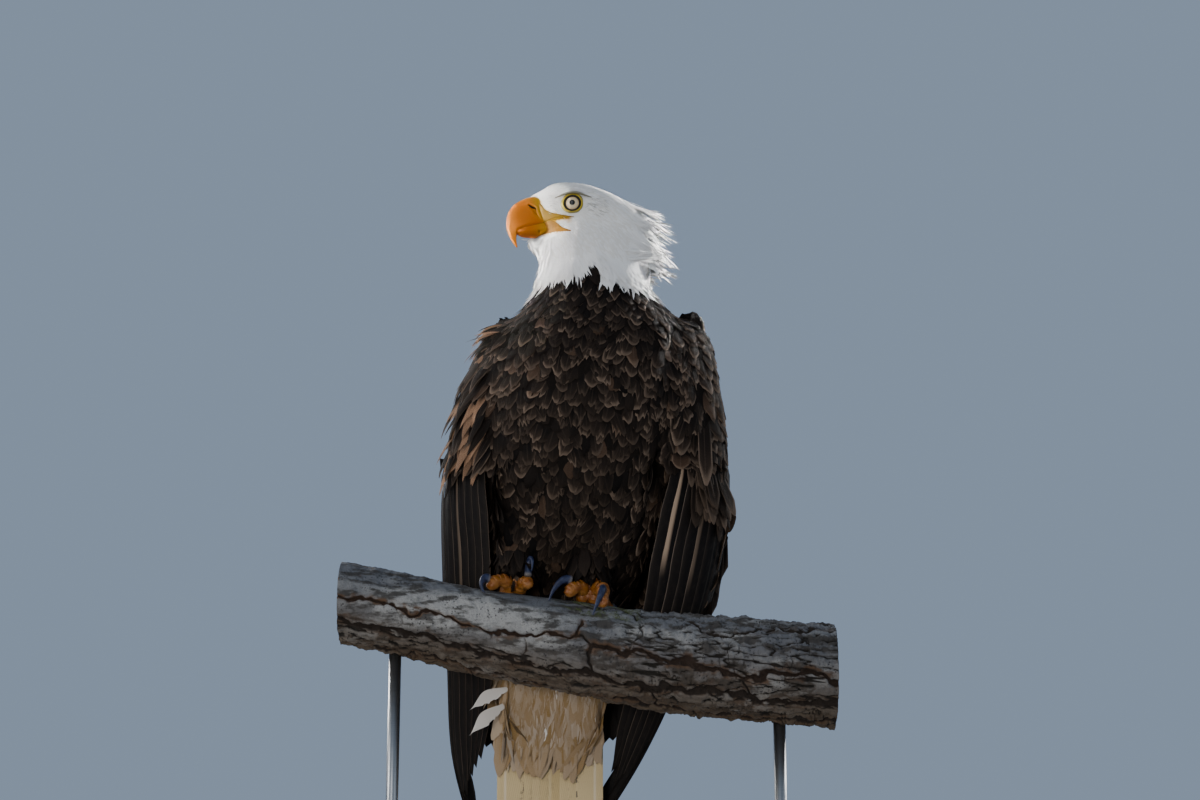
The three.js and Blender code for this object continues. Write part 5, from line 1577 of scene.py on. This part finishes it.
def grain(points, seed):
    """Gradient noise in about -1..1 at an array of points."""
    rng = np.random.default_rng(seed)
    order = rng.permutation(256)
    slopes = unit(rng.normal(size=(256, 3)))
    cell = np.floor(points).astype(int)
    f = points - cell
    w = f * f * f * (f * (f * 6 - 15) + 10)
    out = 0
    for corner in product((0, 1), repeat=3):
        pick, share = 0, np.ones(len(points))
        for k, d in enumerate(corner):
            pick = order[(pick + cell[:, k] + d) & 255]
            share = share * (w[:, k] if d else 1 - w[:, k])
        out = out + share * (slopes[pick] * (f - corner)).sum(1)
    return out * 1.6


def grains(points, seed, octaves=3):
    return sum(grain(points * 2**k, seed + k) / 2**k for k in range(octaves))


def limb_place(u, v):
    x = np.clip((u - CUT_SHARE) / (1 - 2 * CUT_SHARE), 0, 1) * LIMB_LENGTH - LIMB_LENGTH / 2
    share = np.clip(np.minimum(u, 1 - u) / CUT_SHARE, 0, 1)
    a = (v * 2 - 1) * math.pi
    turn = np.stack([np.cos(a), np.sin(a)], 1) * ROUND_MM
    spot = np.column_stack([x, turn])
    warp_x = x + 7 * grains(spot / 26, 3)
    warp_a = np.degrees(a) + 8 * grains(spot / 22, 7) + 2.5 * grain(spot / 6, 11)
    spread = 1 + 0.6 * grain(spot / 11, 23)
    crack, rust = np.zeros(len(u)), np.zeros(len(u))
    for line, half, deep, orange in CRACKS:
        width = half * spread
        for wrap_round in (0, -360, 360):
            d, _ = toward_line(warp_x, (warp_a + wrap_round) * DEGREE_MM, np.array(line, float) * (1, DEGREE_MM))
            crack = np.maximum(crack, deep / DEEPEST * (1 - smooth(d, width * 0.25, width * 1.6)))
            rust = np.maximum(rust, orange * (1 - smooth(d, width, width * 3.4)))
    right = smooth(x, -40, 70)
    under = smooth(np.abs(a), math.radians(100), math.radians(130))
    rough = np.clip(0.25 + 0.75 * np.maximum(right * 0.9, under), 0, 1)
    net = 1 - smooth(np.abs(grains(np.column_stack([x / 55, turn / 9]), 31)), 0.03, 0.16)
    cross = 1 - smooth(np.abs(grains(np.column_stack([x / 10, turn / 24]), 37)), 0.02, 0.09)
    net = np.maximum(net, 0.7 * cross * smooth(grain(spot / 30, 41), 0.0, 0.3)) * rough
    crack = np.maximum(crack, 0.75 * net * smooth(rough, 0.4, 0.9))
    plates = grains(spot / 15, 51) * (0.9 + 1.9 * rough)
    fine = grains(spot / 3.4, 61, 2) * (0.22 + 0.75 * rough)
    at_foot = np.max([smooth(np.hypot(x - foot_x, a * ROUND_MM), 52, 30) for foot_x, *_ in FEET.values()], axis=0)
    lift = (plates + fine - 4.4 * crack) * (1 - 0.8 * at_foot) - 0.6 * at_foot
    moss = smooth(np.abs(a - math.radians(32)), 0.45, 0.15) * smooth(np.abs(x - 12), 52, 22)
    moss = moss * smooth(grains(spot / 9, 71), -0.1, 0.35)
    middle = np.stack([x, 0 * x, read(LIMB, 1, x)], -1)
    p = middle + (on_limb(x, a, lift + 0.7 * moss) - middle) * share[:, None] ** 0.8
    return p, crack, rust, moss, smooth(share, 0.999, 0.97), share, 0.5 + 0.5 * np.cos(a - 0.6), rough


def bark_look(t):
    crack, rust, moss, cut, share, above, rough = values_of(t, *BARK_MARKS)
    lengthwise = stretched(t, 0.35, 1.0, 1.0)
    broad, mid, fine = noise_of(t, 22.0, 4.0, lengthwise), noise_of(t, 110.0, 4.0, lengthwise), noise_of(t, 900.0)
    pit = times(t, fall(t, cells_of(t, 330.0), 0.16, 0.34), ramp(t, noise_of(t, 60.0), 0.46, 0.60))
    pale = mix(t, above, (0.105, 0.085, 0.058), (0.085, 0.092, 0.106))
    bark = coated(
        t,
        pale,
        (ramp(t, broad, 0.46, 0.66), mix(t, 0.7, pale, (0.29, 0.29, 0.28))),
        (ramp(t, mid, 0.45, 0.60), 0.88, (0.022, 0.020, 0.018)),
        (rough, calc(t, "SUBTRACT", 1.0, above), 0.7, (0.070, 0.044, 0.024)),
        # Dark pits: painted shade in them.
        (pit, 0.8, (0.014, 0.013, 0.015)),
        (ramp(t, fine, 0.45, 0.75), 0.45, (0.040, 0.036, 0.032)),
        (rust, ramp(t, mid, 0.35, 0.65), 0.8, (0.085, 0.042, 0.018)),
        # Near-black inside the cracks, a little browner in the rusty ones: painted shade in the cracks.
        (ramp(t, crack, 0.14, 0.65), mix(t, rust, (0.010, 0.008, 0.006), (0.022, 0.012, 0.007))),
        (moss, ramp(t, fine, 0.3, 0.6), (0.040, 0.052, 0.012)),
    )
    rings = calc(t, "SINE", times(t, calc(t, "ADD", times(t, share, 16.0), times(t, broad, 3.0)), 6.2832))
    wood = coated(
        t,
        mix(t, ramp(t, rings, -0.4, 0.9), (0.50, 0.36, 0.21), (0.36, 0.23, 0.12)),
        (ramp(t, mid, 0.5, 0.8), 0.4, (0.28, 0.18, 0.10)),
        (ramp(t, share, 0.90, 0.94), (0.10, 0.07, 0.05)),
    )
    height = calc(t, "SUBTRACT", calc(t, "ADD", times(t, mid, 0.7), times(t, fine, 0.5)), pit)
    return surface(mix(t, cut, bark, wood), 0.85, bumped(t, height, 0.55, 0.002), 0.25)


limb = wrapped("limb", 620, 300, limb_place, BARK_MARKS, material("bark", bark_look))
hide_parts("perch")

# ---- Stand -----------------------------------------------------------------------------------------------------
# A flat base of oiled wood with rounded corners and softened edges. Two rods of brushed steel are let into it and
# go up into bores in the limb.

ROD_RADIUS = 0.006
CORNER, SOFT_EDGE = 0.024, 0.0025


def wood_look(t):
    place = stretched(t, 1.2, 14.0, 14.0)
    flow, pores = noise_of(t, 5.0, 5.0, place), noise_of(t, 60.0, 3.0, place)
    bands = calc(t, "SINE", times(t, flow, 34.0))
    wood = mix(t, ramp(t, bands, -0.8, 0.9), (0.105, 0.052, 0.026), (0.055, 0.027, 0.014))
    wood = coated(t, wood, (ramp(t, pores, 0.55, 0.75), 0.6, (0.025, 0.012, 0.007)))
    relief = bumped(t, calc(t, "ADD", bands, pores), 0.12, 0.0008)
    return surface(wood, calc(t, "MULTIPLY_ADD", pores, 0.25, 0.30), relief) | {"Coat Weight": 0.25}


def steel_look(t):
    lines = noise_of(t, 1.0, 2.0, stretched(t, 60.0, 60.0, 2600.0))
    colour = mix(t, lines, (0.24, 0.25, 0.26), (0.38, 0.39, 0.40))
    finish = surface(colour, calc(t, "MULTIPLY_ADD", lines, 0.2, 0.26), bumped(t, lines, 0.08, 0.0004))
    return finish | {"Metallic": 1.0}


low, high = (np.array(corner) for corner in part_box("stand_base"))
bm = bmesh.new()
bmesh.ops.create_cube(bm, size=1)
for vert in bm.verts:
    vert.co = (low + high) / 2 + np.array(vert.co) * (high - low)
upright = [e for e in bm.edges if abs(e.verts[0].co.z - e.verts[1].co.z) > 0.01]
bmesh.ops.bevel(bm, geom=upright, offset=CORNER, segments=14, profile=0.5, affect="EDGES", material=-1)
rims = [e for e in bm.edges if abs(e.calc_face_angle(0)) > 0.8 and abs(e.verts[0].co.z - e.verts[1].co.z) < 1e-6]
bmesh.ops.bevel(bm, geom=rims, offset=SOFT_EDGE, segments=4, profile=0.5, affect="EDGES", material=-1)
plinth = smooth_piece(bm, "stand_plinth")
plinth.modifiers.new("flat", "WEIGHTED_NORMAL")
plinth.data.materials.append(material("stand_wood", wood_look))
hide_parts("stand_base")
steel = material("stand_steel", steel_look)
for label in ("left", "right"):
    low, high = (np.array(corner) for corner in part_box(f"stand_rod_{label}"))
    bm = bmesh.new()
    bmesh.ops.create_cone(bm, cap_ends=True, segments=64, radius1=ROD_RADIUS, radius2=ROD_RADIUS, depth=1)
    for vert in bm.verts:
        vert.co = (low + high) / 2 + np.array(vert.co) * (1, 1, high[2] - low[2])
    post = smooth_piece(bm, f"stand_post_{label}")
    for polygon in post.data.polygons:
        polygon.use_smooth = abs(polygon.normal.z) < 0.5
    post.data.materials.append(steel)
    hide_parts(f"stand_rod_{label}")
